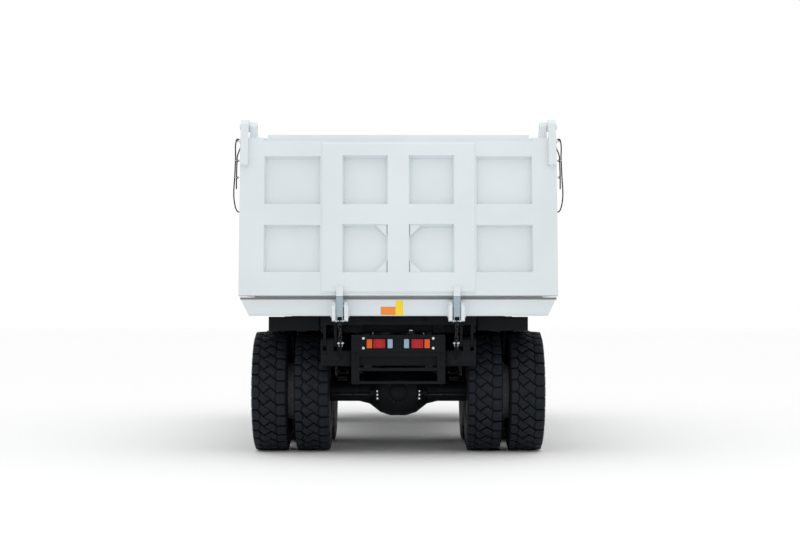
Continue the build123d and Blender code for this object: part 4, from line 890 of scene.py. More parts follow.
class TRUCK_OT_axle_fittings(bpy.types.Operator):
    """Model the axle covers' bolts, the brackets beside them, the brake rods and brake chambers"""

    bl_idname = "truck.axle_fittings"
    bl_label = "Axle fittings"

    def execute(self, context):
        small = []
        for step in range(COVER_BOLTS):
            turn = math.tau * (step + 0.5) / COVER_BOLTS
            y, z = COVER_BOLT_CIRCLE * math.cos(turn), COVER_BOLT_CIRCLE * math.sin(turn)
            small.append(facing((y, AXLE_COVER_Y, WHEEL_Z + z), BACK))
        castings = [turned_round(COVER_DOME, (0, AXLE_COVER_Y, WHEEL_Z), BACK, 48)]
        bright, rods = [], []
        for side, _ in SIDES:
            castings.append(block((side * 0.2385, -3.187, 0.648), (0.050, 0.030, 0.135)))
            castings.append(block((side * 0.285, -3.170, 0.672), (0.075, 0.018, 0.050)))
            bright += [facing((side * 0.2385, -3.202, z), BACK) for z in (0.606, 0.648, 0.689)]
            # rod behind the axle, from the bowl to the brake
            rods.append(rod(
                (side * 0.284, -3.150, 0.650), (side * 0.765, -3.150, 0.650), 0.010, 16, 0.002))
            castings += [
                block((side * x, -3.125, 0.650), (0.018, 0.075, 0.034)) for x in (0.345, 0.520)]
            for axle_y in (REAR_AXLE_Y, MIDDLE_AXLE_Y):
                can_y = axle_y + 0.235
                castings.append(moved(turned(BRAKE_CHAMBER, 32), Matrix.Translation(
                    (side * 0.36, can_y, BRAKE_Z))))
                castings.append(rod(
                    (side * 0.445, can_y, BRAKE_Z), (side * 0.54, can_y, BRAKE_Z), 0.011, 16))
                castings.append(block((side * 0.36, axle_y + 0.165, 0.765), (0.10, 0.11, 0.03)))
                castings.append(block((side * 0.545, axle_y + 0.20, BRAKE_Z), (0.02, 0.10, 0.05)))
        bolts(0.018, 0.009, small, "axle_cover_bolts", "chassis", "axle_black")
        finished(castings, "axle_brackets", "chassis", "axle_black")
        bolts(0.012, 0.006, bright, "axle_bracket_bolts", "chassis")
        finished(rods, "brake_rods", "chassis", "worn_steel")
        return {"FINISHED"}


# Frame, lamp board and hinge

TAIL_FACE_Y = -3.880
APRON_Y = -3.592
WING_X = 0.2865
WING = ((-0.035, 0.055), (0.035, 0.055), (0.018, -0.030), (0.0, -0.042), (-0.018, -0.030))
FLAP_Y = -0.640
AIR_TANK = (
    (-0.34, 0.0001), (-0.33, 0.06), (-0.30, 0.105), (-0.27, 0.12), (0.27, 0.12), (0.30, 0.105),
    (0.33, 0.06), (0.34, 0.0001),
)


class TRUCK_OT_frame_fittings(bpy.types.Operator):
    """Model the bolts of the rails and the tail frame, the air tanks and the flaps by the wheels"""

    bl_idname = "truck.frame_fittings"
    bl_label = "Frame fittings"

    def execute(self, context):
        dark, flaps, beams = [], [], []
        for side, _ in SIDES:
            for step in range(17):
                for z in (1.055, 1.290):
                    dark += [
                        facing((side * RAIL_FACE_X, -3.60 + 0.45 * step + along, z), (side, 0, 0))
                        for along in (-0.05, 0.05)]
            dark += [
                facing((side * 0.473, TAIL_FACE_Y, z), BACK) for z in (0.815, 0.985, 1.060, 1.120)]
            # cover plate beside the hinge, with its bolts
            beams.append(block((side * 0.690, -3.807, 1.086), (0.330, 0.012, 0.160), 0.003))
            dark += [facing((side * x, -3.813, z), BACK)
                     for x in (0.565, 0.690, 0.815) for z in (1.030, 1.140)]
            # rubber flap in front of the twin wheels, on its bar
            flaps.append(block((side * 0.975, FLAP_Y, 1.052), (0.950, 0.012, 0.585), 0.003))
            beams.append(rod(
                (side * RAIL_FACE_X, FLAP_Y, 1.275), (side * 1.450, FLAP_Y, 1.275), 0.022, 20, 0.003))
            dark += [facing((side * x, FLAP_Y - 0.010, 1.225), BACK)
                     for x in (0.62, 0.81, 1.00, 1.19, 1.38)]
        # air tanks under the frame, between the rails
        beams += [
            moved(turned(AIR_TANK, 40), Matrix.Translation((x, -0.20, 1.13)),
                  Matrix.Rotation(math.radians(90), 4, "Z")) for x in (-0.21, 0.21)]
        bolts(0.022, 0.011, dark, "frame_bolts", "chassis", "chassis_black")
        finished(beams, "frame_fittings", "chassis", "chassis_black")
        finished(flaps, "wheel_flaps", "chassis", "rope_black")
        # apron of the bed's subframe, in front of the hinge, and bolted brackets on its rear beam
        apron = [block((0, APRON_Y, 1.420), (1.730, 0.010, 0.116), 0.002)]
        for side, _ in SIDES:
            place = Matrix((
                (1, 0, 0, side * WING_X), (0, 0, -1, -3.850), (0, 1, 0, 1.490), (0, 0, 0, 1)))
            apron.append(plate(WING, 0.010, place, 0.002))
        finished(apron, "bed_beam_apron", "bed", "chassis_black")
        bolts(0.022, 0.011, [facing((side * WING_X, -3.860, 1.498), BACK) for side, _ in SIDES],
              "bed_beam_bolts", "bed", "chassis_black")
        return {"FINISHED"}


# Number-plate lamp and sill

BOARD_LAMP_X = 0.139
LATCH_X = 0.633


class TRUCK_OT_board_lamp(bpy.types.Operator):
    """Model the small lamp on the lamp board's top edge"""

    bl_idname = "truck.board_lamp"
    bl_label = "Board lamp"

    def execute(self, context):
        foot = plate(
            [(-0.014, -0.025), (0.014, -0.025), (0.014, 0.022), (-0.014, 0.022)], 0.004,
            facing((BOARD_LAMP_X, -3.892, 1.362), BACK), 0.001)
        cap = block((BOARD_LAMP_X, -3.902, 1.394), (0.052, 0.030, 0.020), 0.006, 3)
        finished([foot, cap], "board_lamp_body", "chassis", "chassis_black")
        face = block((BOARD_LAMP_X, -3.915, 1.390), (0.040, 0.010, 0.013), 0.003, 3)
        finished(face, "board_lamp_face", "chassis", "lens_white")
        return {"FINISHED"}


class TRUCK_OT_sill_trim(bpy.types.Operator):
    """Model the bare wear strip along the sill's top and the turned lip along its foot"""

    bl_idname = "truck.sill_trim"
    bl_label = "Sill trim"

    def execute(self, context):
        # the lugs and arms of the latches stand in front of the strips, so each runs in one length
        strip = block((0, -4.1285, 1.7395), (3.432, 0.072, 0.024), 0.003)
        finished(strip, "sill_wear_strip", "bed", "worn_strip")
        lip = block((0, -4.163, 1.5555), (3.244, 0.012, 0.009), 0.003)
        finished(lip, "sill_lip", "bed", "bed_white")
        return {"FINISHED"}


# Latches, chains and shackles

LATCH_Y = -4.240
LATCH_PIN_Z = 1.660
LUG_FACES = (0.542, 0.717)
SHACKLE_PLACE = (-3.970, 1.220)
CHAIN_TOP = (-4.240, 1.496)
# curled handle of a latch pin, over its end and down the lug's face: how far it runs along
# the pin, behind it and over it
PIN_HANDLE = (
    (0.010, 0.030, 0.004), (0.016, 0.030, 0.034), (0.006, 0.036, 0.044), (-0.004, 0.046, 0.020),
    (0.006, 0.052, -0.030), (0.010, 0.040, -0.095), (0.006, 0.032, -0.125),
)
LINK_COUNT = 6
LINK_INNER_WIDTH = 0.020
WIRE = 0.0068
# the shackle: its pin's distance from the lug, its bow's half width and where the bow bends
SHACKLE_PIN_AT = 0.046
BOW_HALF_WIDTH = 0.0185


def link_ring(inner_length):
    """A chain link round the origin, long in Z and flat in X."""
    half = (inner_length - LINK_INNER_WIDTH) / 2
    bend = (LINK_INNER_WIDTH + 2 * WIRE) / 2
    turns = [math.pi * step / 6 for step in range(7)]
    points = [(bend * math.cos(turn), 0, half + bend * math.sin(turn)) for turn in turns]
    points += [(-x, 0, -z) for x, _, z in points]
    return bent_bar(points, WIRE, 1, True)


class TRUCK_OT_latch_fittings(bpy.types.Operator):
    """Model the latch pins' heads and curled handles"""

    bl_idname = "truck.latch_fittings"
    bl_label = "Latch fittings"

    def execute(self, context):
        for side, side_name in SIDES:
            middle = side * LATCH_X
            heads, handles = [], []
            for out, face in ((-1, LUG_FACES[0]), (1, LUG_FACES[1])):
                x = side * face
                way = side * out
                for start, end, radius, edge, segments in (
                        (-0.002, 0.005, 0.026, 0.0015, 1), (0.0, 0.016, 0.015, 0.003, 2)):
                    heads.append(rod(
                        (x + way * start, LATCH_Y, LATCH_PIN_Z), (x + way * end, LATCH_Y, LATCH_PIN_Z),
                        radius, 24, edge, segments))
                handles.append(bent_bar([
                    (x + way * along, LATCH_Y - back, LATCH_PIN_Z + up)
                    for along, back, up in PIN_HANDLE], 0.005))
            finished(heads, f"latch_pin_heads_{side_name}", "bed", "zinc")
            finished(handles, f"latch_pin_handles_{side_name}", "bed", "zinc")
            # bolt through the arm's forked foot
            bolt = [rod(
                (middle - 0.046, *CHAIN_TOP), (middle + 0.046, *CHAIN_TOP), 0.006, 16, 0.0015, 1)]
            bolt += copies(hexagon_bolt(0.018, 0.008), [
                facing((middle + way * 0.036, *CHAIN_TOP), (way, 0, 0)) for way in (-1, 1)])
            finished(bolt, f"latch_foot_bolt_{side_name}", f"latch_{side_name}",
                     "zinc", smooth=30.0)
        return {"FINISHED"}


def chain_frame(side):
    """The place of a chain: its foot's pin along X, and the chain along Z."""
    foot = Vector((side * LATCH_X, *SHACKLE_PLACE))
    along = (Vector((side * LATCH_X, *CHAIN_TOP)) - foot).normalized()
    across = Vector((1, 0, 0))
    turn = Matrix((across, along.cross(across), along)).transposed().to_4x4()
    return Matrix.Translation(foot) @ turn


class TRUCK_OT_chains(bpy.types.Operator):
    """Model the latch chains, link by link, and the shackles that hold them"""

    bl_idname = "truck.chains"
    bl_label = "Latch chains"

    def execute(self, context):
        whole = (Vector(CHAIN_TOP) - Vector(SHACKLE_PLACE)).length
        first = SHACKLE_PIN_AT - 0.0075
        pitch = (whole + 0.006 - first) / LINK_COUNT
        # both end links stand across the pins that they hang on
        twist = math.radians(360 / (LINK_COUNT - 1))
        for side, side_name in SIDES:
            place = chain_frame(side)
            body = f"chain_{side_name}"
            places = [
                place @ Matrix.Translation((0, 0, first + (number + 0.5) * pitch))
                @ Matrix.Rotation(math.radians(90) + number * twist, 4, "Z")
                for number in range(LINK_COUNT)]
            finished(copies(link_ring(pitch), places), f"chain_links_{side_name}", body,
                     "worn_steel", smooth=60.0, replaces=[body])
            # the shackle's bow through the frame's lug, and its pin through the first link
            half_bow = ((BOW_HALF_WIDTH, SHACKLE_PIN_AT), (BOW_HALF_WIDTH, 0.026), (0.0190, 0.006),
                        (0.012, -0.010))
            bow = [(x, 0, z) for x, z in half_bow] + [(-x, 0, z) for x, z in reversed(half_bow)]
            parts = [bent_bar(bow, 0.0065, 4)]
            for start, end, radius, sides, edge, segments in (
                    (-0.0115, -0.0255, 0.0145, 24, 0.002, 2), (0.0115, 0.0255, 0.0145, 24, 0.002, 2),
                    (-0.034, 0.030, 0.0070, 16, 0.001, 1)):
                parts.append(rod(
                    (start, 0, SHACKLE_PIN_AT), (end, 0, SHACKLE_PIN_AT),
                    radius, sides, edge, segments))
            parts += copies(hexagon_bolt(0.019, 0.008), [
                facing((0.0255, 0, SHACKLE_PIN_AT), (1, 0, 0))])
            finished(moved(joined(parts), place), f"shackle_{side_name}", body, "zinc")
        return {"FINISHED"}


# Stay ropes

ROPE_PIN_Y = -3.850
ROPE_RADIUS = 0.007
# the rope's route on the right side: X, Y from the upper pin, Z
ROPE_ROUTE = (
    (1.786, 0.004, 2.949), (1.787, 0.007, 3.032), (1.786, 0.008, 3.124), (1.782, 0.007, 3.216),
    (1.780, 0.010, 3.308), (1.766, 0.026, 3.358), (1.744, 0.036, 3.405), (1.741, 0.036, 3.455),
    (1.756, 0.034, 3.500), (1.780, -0.034, 3.500), (1.793, -0.037, 3.440), (1.795, -0.032, 3.376),
    (1.793, -0.014, 3.308), (1.798, -0.009, 3.216), (1.802, -0.009, 3.124), (1.808, -0.008, 3.032),
    (1.814, -0.006, 2.950), (1.816, -0.002, 2.880), (1.811, 0.002, 2.812), (1.798, 0.004, 2.745),
    (1.776, 0.004, 2.694), (1.742, 0.004, 2.694),
)
# each clip: X and Y of the outer strand, X and Y of the inner one, Z
ROPE_CLIPS = (
    (1.781, 0.0085, 1.7955, -0.0115, 3.262), (1.7865, 0.0075, 1.805, -0.0085, 3.078),
)
# pin that the loop hangs on, its two washers, and the boss of the lower eye: inner and outer
# X, Y from the upper pin, Z, radius, width of the rounded edge
ROPE_PINS = (
    (1.728, 1.782, 0.0, 3.480, 0.012, 0.003), (1.728, 1.734, 0.0, 3.480, 0.026, 0.001),
    (1.774, 1.777, 0.0, 3.480, 0.019, 0.001), (1.728, 1.744, 0.004, 2.694, 0.018, 0.003),
)


class TRUCK_OT_stay_ropes(bpy.types.Operator):
    """Model the stay ropes beside the tailgate and the clips that close their loops"""

    bl_idname = "truck.stay_ropes"
    bl_label = "Stay ropes"

    def execute(self, context):
        for side, side_name in SIDES:
            clips = []
            for outer_x, outer_y, inner_x, inner_y, z in ROPE_CLIPS:
                outer = Vector((side * outer_x, ROPE_PIN_Y + outer_y, z))
                inner = Vector((side * inner_x, ROPE_PIN_Y + inner_y, z))
                clips.append(rope_clip(outer, inner))
            for start, end, y, z, radius, edge in ROPE_PINS:
                clips.append(rod(
                    (side * start, ROPE_PIN_Y + y, z), (side * end, ROPE_PIN_Y + y, z),
                    radius, 24, edge))
            clips = finished(clips, f"stay_rope_clips_{side_name}", "bed", "zinc")
            clear_selection()
            line = bpy.data.curves.new(f"stay_rope_{side_name}", "CURVE")
            line.dimensions = "3D"
            spline = line.splines.new("NURBS")
            spline.points.add(len(ROPE_ROUTE) - 1)
            for knot, (x, y, z) in zip(spline.points, ROPE_ROUTE):
                knot.co = (side * x, ROPE_PIN_Y + y, z, 1.0)
            spline.order_u = 3
            spline.use_endpoint_u = True
            spline.resolution_u = 8
            line.bevel_depth = ROPE_RADIUS
            line.bevel_resolution = 4
            line.use_fill_caps = True
            line.materials.append(FINISHES["rope_black"])
            rope = bpy.data.objects.new(f"stay_rope_{side_name}", line)
            context.scene.collection.objects.link(rope)
            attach(rope, "bed")
            x, y, z = ROPE_ROUTE[-1]
        return {"FINISHED"}


def rope_clip(outer, inner):
    """A saddle and a bent bolt with two nuts, round two strands of rope."""
    across = (inner - outer).normalized()
    reach = (inner - outer).length / 2 + ROPE_RADIUS
    level = Vector((0, 0, 1))
    turn = Matrix((across, level.cross(across), level)).transposed().to_4x4()
    parts = [block((-reach - 0.006, 0, 0), (0.012, 0.030, 0.026), 0.003)]
    leg = ((-reach - 0.022, 0.0105), (0.0, 0.0105), (reach, 0.0105), (reach + 0.005, 0.006))
    bow = [(x, y, 0) for x, y in leg] + [(x, -y, 0) for x, y in reversed(leg)]
    parts.append(bent_bar(bow, 0.0035, 2))
    parts += copies(hexagon_bolt(0.011, 0.007), [
        facing((-reach - 0.012, y, 0), (-1, 0, 0)) for y in (-0.0105, 0.0105)])
    return moved(joined(parts), Matrix.Translation((outer + inner) / 2), turn)


# Wheels' fittings

# how far a rim's flange stands from the tyre's middle
FLANGE_AT = 0.166
# its section: x outwards, radius
FLANGE = (
    (-0.006, 0.300), (-0.006, 0.3175), (0.002, 0.3200), (0.004, 0.332), (0.009, 0.337),
    (0.014, 0.334), (0.014, 0.318), (0.008, 0.300),
)
# the ring between the twin rims: |x| of its middle, and its section
SPACER_X = 1.211
SPACER = ((-0.074, 0.299), (-0.074, 0.3165), (0.074, 0.3165), (0.074, 0.299))
# |x| of the twin wheels' disc and hub, and of the front wheels' ones
TWIN_DISC_X, TWIN_HUB_X = 1.230, 1.480
FRONT_DISC_X, FRONT_HUB_X = 1.400, 1.470


def ring_of_bolts(axle_y, x, radius, count, side):
    """Places on a wheel's face, each with its Z pointing away from the truck."""
    return [
        facing((side * x, axle_y + radius * math.cos(turn), WHEEL_Z + radius * math.sin(turn)),
               (side, 0, 0))
        for turn in (math.tau * step / count for step in range(count))]


def radial_bolts(axle_y, x, radius, count, side, start):
    """Places round a wheel's barrel, each with its Z pointing away from the axle."""
    made = []
    for step in range(count):
        turn = start + math.tau * step / count
        way = Vector((0, math.cos(turn), math.sin(turn)))
        made.append(facing(Vector((side * x, axle_y, WHEEL_Z)) + radius * way, way))
    return made


def rim_flange(x, axle_y, out):
    """The rolled flange that holds a tyre's bead; out is the side that it opens to."""
    ring = turned([(out * along, radius) for along, radius in FLANGE], 72)
    return moved(ring, Matrix.Translation((x, axle_y, WHEEL_Z)))


class TRUCK_OT_wheel_fittings(bpy.types.Operator):
    """Model the wheels' nuts, hub bolts, clamp bolts, rim flanges and spacer rings"""

    bl_idname = "truck.wheel_fittings"
    bl_label = "Wheel fittings"

    def execute(self, context):
        for side, side_name in SIDES:
            for place, axle_y in (("middle", MIDDLE_AXLE_Y), ("rear", REAR_AXLE_Y)):
                body = f"wheels_{place}_{side_name}"
                nuts = copies(
                    hexagon_bolt(0.034, 0.026), ring_of_bolts(axle_y, TWIN_DISC_X, 0.2145, 10, side))
                nuts += copies(
                    hexagon_bolt(0.018, 0.010), ring_of_bolts(axle_y, TWIN_HUB_X, 0.098, 12, side))
                nuts.append(rod((side * (TWIN_HUB_X - 0.002), axle_y, WHEEL_Z),
                                (side * (TWIN_HUB_X + 0.012), axle_y, WHEEL_Z), 0.060, 48, 0.004))
                finished(nuts, f"nuts_{place}_{side_name}", body, "worn_steel",
                         smooth=30.0)
                bolts(0.014, 0.009, radial_bolts(axle_y, SPACER_X, 0.3160, 16, side, 0.11),
                      f"clamp_bolts_{place}_{side_name}", body, "worn_strip")
                flanges = [
                    rim_flange(side * (middle + way * FLANGE_AT), axle_y, way * side)
                    for middle in TWIN_X for way in (-1, 1)]
                flanges.append(moved(
                    turned(SPACER), Matrix.Translation((side * SPACER_X, axle_y, WHEEL_Z))))
                finished(flanges, f"rim_flanges_{place}_{side_name}", body, "rim_grey", smooth=40.0)
            body = f"wheel_front_{side_name}"
            nuts = copies(hexagon_bolt(0.034, 0.026), ring_of_bolts(
                FRONT_AXLE_Y, FRONT_DISC_X, 0.1760, 10, side))
            nuts += copies(hexagon_bolt(0.016, 0.009), ring_of_bolts(
                FRONT_AXLE_Y, FRONT_HUB_X, 0.075, 8, side))
            finished(nuts, f"nuts_front_{side_name}", body, "worn_steel", smooth=30.0)
            flanges = [
                rim_flange(side * (middle + way * FLANGE_AT), FRONT_AXLE_Y, way * side)
                for middle in FRONT_X for way in (-1, 1)]
            finished(flanges, f"rim_flanges_front_{side_name}", body, "rim_grey", smooth=40.0)
        return {"FINISHED"}


# Bed and tailgate

GATE_PIN = (-3.800, 3.638)
# its washers and its head: inner and outer X, radius, width of the rounded edge
GATE_PIN_RINGS = (
    (1.721, 1.731, 0.044, 0.002), (1.731, 1.750, 0.030, 0.004), (1.634, 1.641, 0.044, 0.002),
)
WELD_RADIUS = 0.005
WELD_PITCH = 0.09


def weld_seam(start, end):
    """A weld bead along a joint, a thin bar that swells and thins."""
    start, end = Vector(start), Vector(end)
    run = end - start
    axis = run.normalized()
    steps = int(run.length / (WELD_PITCH / 2))
    seam = cut_across(
        rod(start, end, WELD_RADIUS, 6), [start + run * step / steps for step in range(1, steps)], axis)
    for vertex in seam.data.vertices:
        along = (vertex.co - start).dot(axis)
        centre = start + along * axis
        swell = 1.0 + 0.22 * math.cos(math.tau * along / WELD_PITCH)
        vertex.co = centre + (vertex.co - centre) * swell
    return seam


class TRUCK_OT_gate_trim(bpy.types.Operator):
    """Model the tailgate pins' heads and washers"""

    bl_idname = "truck.gate_trim"
    bl_label = "Tailgate trim"

    def execute(self, context):
        pins = [
            rod((side * inner, *GATE_PIN), (side * outer, *GATE_PIN), radius, 32, edge)
            for side, _ in SIDES
            for inner, outer, radius, edge in GATE_PIN_RINGS]
        finished(pins, "gate_pin_heads", "tailgate", "zinc")
        return {"FINISHED"}


class TRUCK_OT_bed_trim(bpy.types.Operator):
    """Model the weld seams inside the bed"""

    bl_idname = "truck.bed_trim"
    bl_label = "Bed trim"

    def execute(self, context):
        seams = []
        for side, _ in SIDES:
            # wall to floor, and wall to front wall
            seams.append(weld_seam((side * 1.556, -4.02, 1.794), (side * 1.556, 1.09, 1.794)))
            seams.append(weld_seam((side * 1.556, 1.105, 1.80), (side * 1.556, 1.635, 3.47)))
        seams.append(weld_seam((-1.55, 1.088, 1.796), (1.55, 1.088, 1.796)))
        finished(seams, "bed_welds", "bed", "bed_white", smooth=60.0)
        return {"FINISHED"}


# Cab

CAB_LEFT_X, CAB_RIGHT_X = -1.560, 0.140
CAB_REAR_Y, CAB_FRONT_Y = 2.080, 3.880
CAB_MIDDLE_X = (CAB_LEFT_X + CAB_RIGHT_X) / 2
CAB_SILL_Z = 2.420
# run of the windscreen back over its height
CAB_LEAN = 0.180 / 0.720
VISOR = ((-0.80, 0.0), (0.80, 0.0), (0.77, 0.21), (-0.77, 0.21))
VISOR_LEAN = Matrix.Rotation(math.radians(-14), 4, "X")
SLAT_LEAN = Matrix.Rotation(math.radians(-35), 4, "X")
GRAB_BAR_Y = 2.42
# how a grab bar runs: share of its reach, Z
GRAB_BAR_BEND = (
    (0.0, 1.98), (0.7, 1.98), (1.0, 2.02), (1.0, 2.40), (1.0, 2.78), (0.7, 2.82), (0.0, 2.82),
)


def screen_y(z):
    """The cab's front face at a height."""
    return CAB_FRONT_Y - max(0.0, z - CAB_SILL_Z) * CAB_LEAN


def rubber_frame(corners, radius):
    """A rubber seal round a window, through the corners of its opening, each of them rounded."""
    points = []
    for number, corner in enumerate(corners):
        before, here = Vector(corners[number - 1]), Vector(corner)
        after = Vector(corners[(number + 1) % len(corners)])
        to_before, to_after = (before - here).normalized(), (after - here).normalized()
        points += [here + to_before * 0.09, here + to_before * 0.02,
                   here + to_after * 0.02, here + to_after * 0.09]
        points += [here + (after - here) * share for share in (0.35, 0.65)]
    return bent_bar(points, radius, 2, True)


class TRUCK_OT_cab_trim(bpy.types.Operator):
    """Model the cab's window seals, handles, wipers, marker lamps, mirror glass and front panel"""

    bl_idname = "truck.cab_trim"
    bl_label = "Cab trim"

    def execute(self, context):
        seals = [rubber_frame([(x, screen_y(z) + 0.004, z) for x, z in (
            (CAB_LEFT_X + 0.115, 2.455), (CAB_RIGHT_X - 0.115, 2.455),
            (CAB_RIGHT_X - 0.115, 3.065), (CAB_LEFT_X + 0.115, 3.065))], 0.013)]
        seals.append(rubber_frame([(x, CAB_REAR_Y - 0.004, z) for x, z in (
            (CAB_MIDDLE_X - 0.50, 2.60), (CAB_MIDDLE_X + 0.50, 2.60),
            (CAB_MIDDLE_X + 0.50, 3.00), (CAB_MIDDLE_X - 0.50, 3.00))], 0.012))
        # wipers, each an arm from its spindle with a blade across its end
        for x in (-1.15, -0.50):
            foot = Vector((x, screen_y(2.445) + 0.018, 2.440))
            tip = Vector((x + 0.16, screen_y(2.800) + 0.026, 2.800))
            low, high = Vector((-0.02, 0.055, -0.24)), Vector((0.02, -0.055, 0.20))
            seals.append(rod(
                foot - Vector((0, 0.012, 0)), foot + Vector((0, 0.016, 0)), 0.015, 20, 0.003))
            seals.append(rod(foot + Vector((0, 0.010, 0)), tip, 0.005, 12))
            seals.append(rod(tip + low, tip + high, 0.0055, 8))
        finished(seals, "cab_seals", "chassis", "rope_black")

        panel = [block((CAB_MIDDLE_X, CAB_FRONT_Y + 0.006, 2.175), (1.30, 0.012, 0.330), 0.006)]
        for step in range(6):
            place = Matrix.Translation((CAB_MIDDLE_X, CAB_FRONT_Y + 0.020, 2.045 + 0.052 * step))
            panel.append(moved(block((0, 0, 0), (1.22, 0.030, 0.010), 0.003), place, SLAT_LEAN))
        # sun visor over the windscreen, on three stays
        place = Matrix.Translation((CAB_MIDDLE_X, 3.690, 3.176)) @ VISOR_LEAN
        panel.append(plate(VISOR, 0.006, place, 0.002))
        panel += [rod((CAB_MIDDLE_X + x, 3.700, 3.128), (CAB_MIDDLE_X + x, 3.850, 3.140), 0.007, 12)
                  for x in (-0.7, 0.0, 0.7)]
        # steps' scuff plate under each door, gutters over both doors
        for side, x in ((LEFT, CAB_LEFT_X), (RIGHT, CAB_RIGHT_X)):
            panel.append(block((x + side * 0.008, 2.99, 1.786), (0.016, 1.00, 0.020), 0.003))
            panel.append(block((x + side * 0.010, 2.99, 3.058), (0.020, 1.06, 0.014), 0.004))
        finished(panel, "cab_dark_trim", "chassis", "trim_black")

        lamps = [block((CAB_MIDDLE_X + x, 3.660, 3.212), (0.100, 0.045, 0.030), 0.010, 3)
                 for x in (-0.72, -0.36, 0.0, 0.36, 0.72)]
        finished(lamps, "roof_marker_lamps", "chassis", "lens_orange")
        mirrors = [block((x, 3.6185, 2.70), (0.122, 0.005, 0.365), 0.002) for x in (-1.655, 0.235)]
        finished(mirrors, "mirror_glass", "chassis", "rod_chrome")

        bars = []
        for side, x in ((LEFT, CAB_LEFT_X), (RIGHT, CAB_RIGHT_X)):
            bars.append(bent_bar([
                (x + side * 0.040 * share, GRAB_BAR_Y, z) for share, z in GRAB_BAR_BEND], 0.011))
            bars += [
                rod((x - side * 0.002, GRAB_BAR_Y, z), (x + side * 0.006, GRAB_BAR_Y, z),
                    0.024, 24, 0.002) for z in (1.98, 2.82)]
        finished(bars, "cab_grab_bars", "chassis", "trim_black")
        for side, side_name, x in ((LEFT, "left", CAB_LEFT_X), (RIGHT, "right", CAB_RIGHT_X)):
            seal = rubber_frame([(x + side * 0.003, y, z) for y, z in (
                (2.625, 2.425), (3.355, 2.425), (3.355, 2.935), (2.625, 2.935))], 0.012)
            pull = [block((x + side * 0.004, 2.640, 2.300), (0.010, 0.150, 0.070), 0.004),
                    block((x + side * 0.016, 2.640, 2.312), (0.012, 0.120, 0.020), 0.005, 3),
                    rod((x, 2.640, 2.265), (x + side * 0.012, 2.640, 2.265), 0.011, 20, 0.002)]
            finished([seal] + pull, f"door_trim_{side_name}", f"door_{side_name}", "rope_black")
            # pressed swage lines across the door
            swages = [block((x + side * 0.001, 2.99, z), (0.008, 0.86, 0.014), 0.003)
                      for z in (1.900, 2.170)]
            finished(swages, f"door_swages_{side_name}", f"door_{side_name}", "cab_paint")
        return {"FINISHED"}


# Driver's place

SEAT_X = -0.940
# how far a cushion's cloth may swell out of its foam
SWELL = 0.024
# the steering wheel's radius, and the radius of its grip
WHEEL_RING, GRIP = 0.213, 0.018


def stuffed(centre, size, lean):
    """A foam cushion in cloth: a block swollen from inside, leaning about X."""
    made = block((0, 0, 0), size, 0.035, 4)
    skin = made.modifiers.new("skin", "REMESH")
    skin.mode = "VOXEL"
    skin.voxel_size = 0.009
    use(made)
    bpy.ops.object.modifier_apply(modifier=skin.name)
    flat = [vertex.co.copy() for vertex in made.data.vertices]
    cloth = made.modifiers.new("cover", "CLOTH")
    cloth.settings.use_pressure = True
    cloth.settings.uniform_pressure_force = 4.0
    cloth.settings.effector_weights.gravity = 0.0
    cloth.settings.bending_stiffness = 0.4
    for step in range(1, 16):
        bpy.context.scene.frame_set(step)
    use(made)
    bpy.ops.object.modifier_apply(modifier=cloth.name)
    for vertex, start in zip(made.data.vertices, flat):
        move = vertex.co - start
        if move.length > SWELL:
            vertex.co = start + move * (SWELL / move.length)
    bpy.context.scene.frame_set(1)
    return moved(made, Matrix.Translation(centre), Matrix.Rotation(lean, 4, "X"))


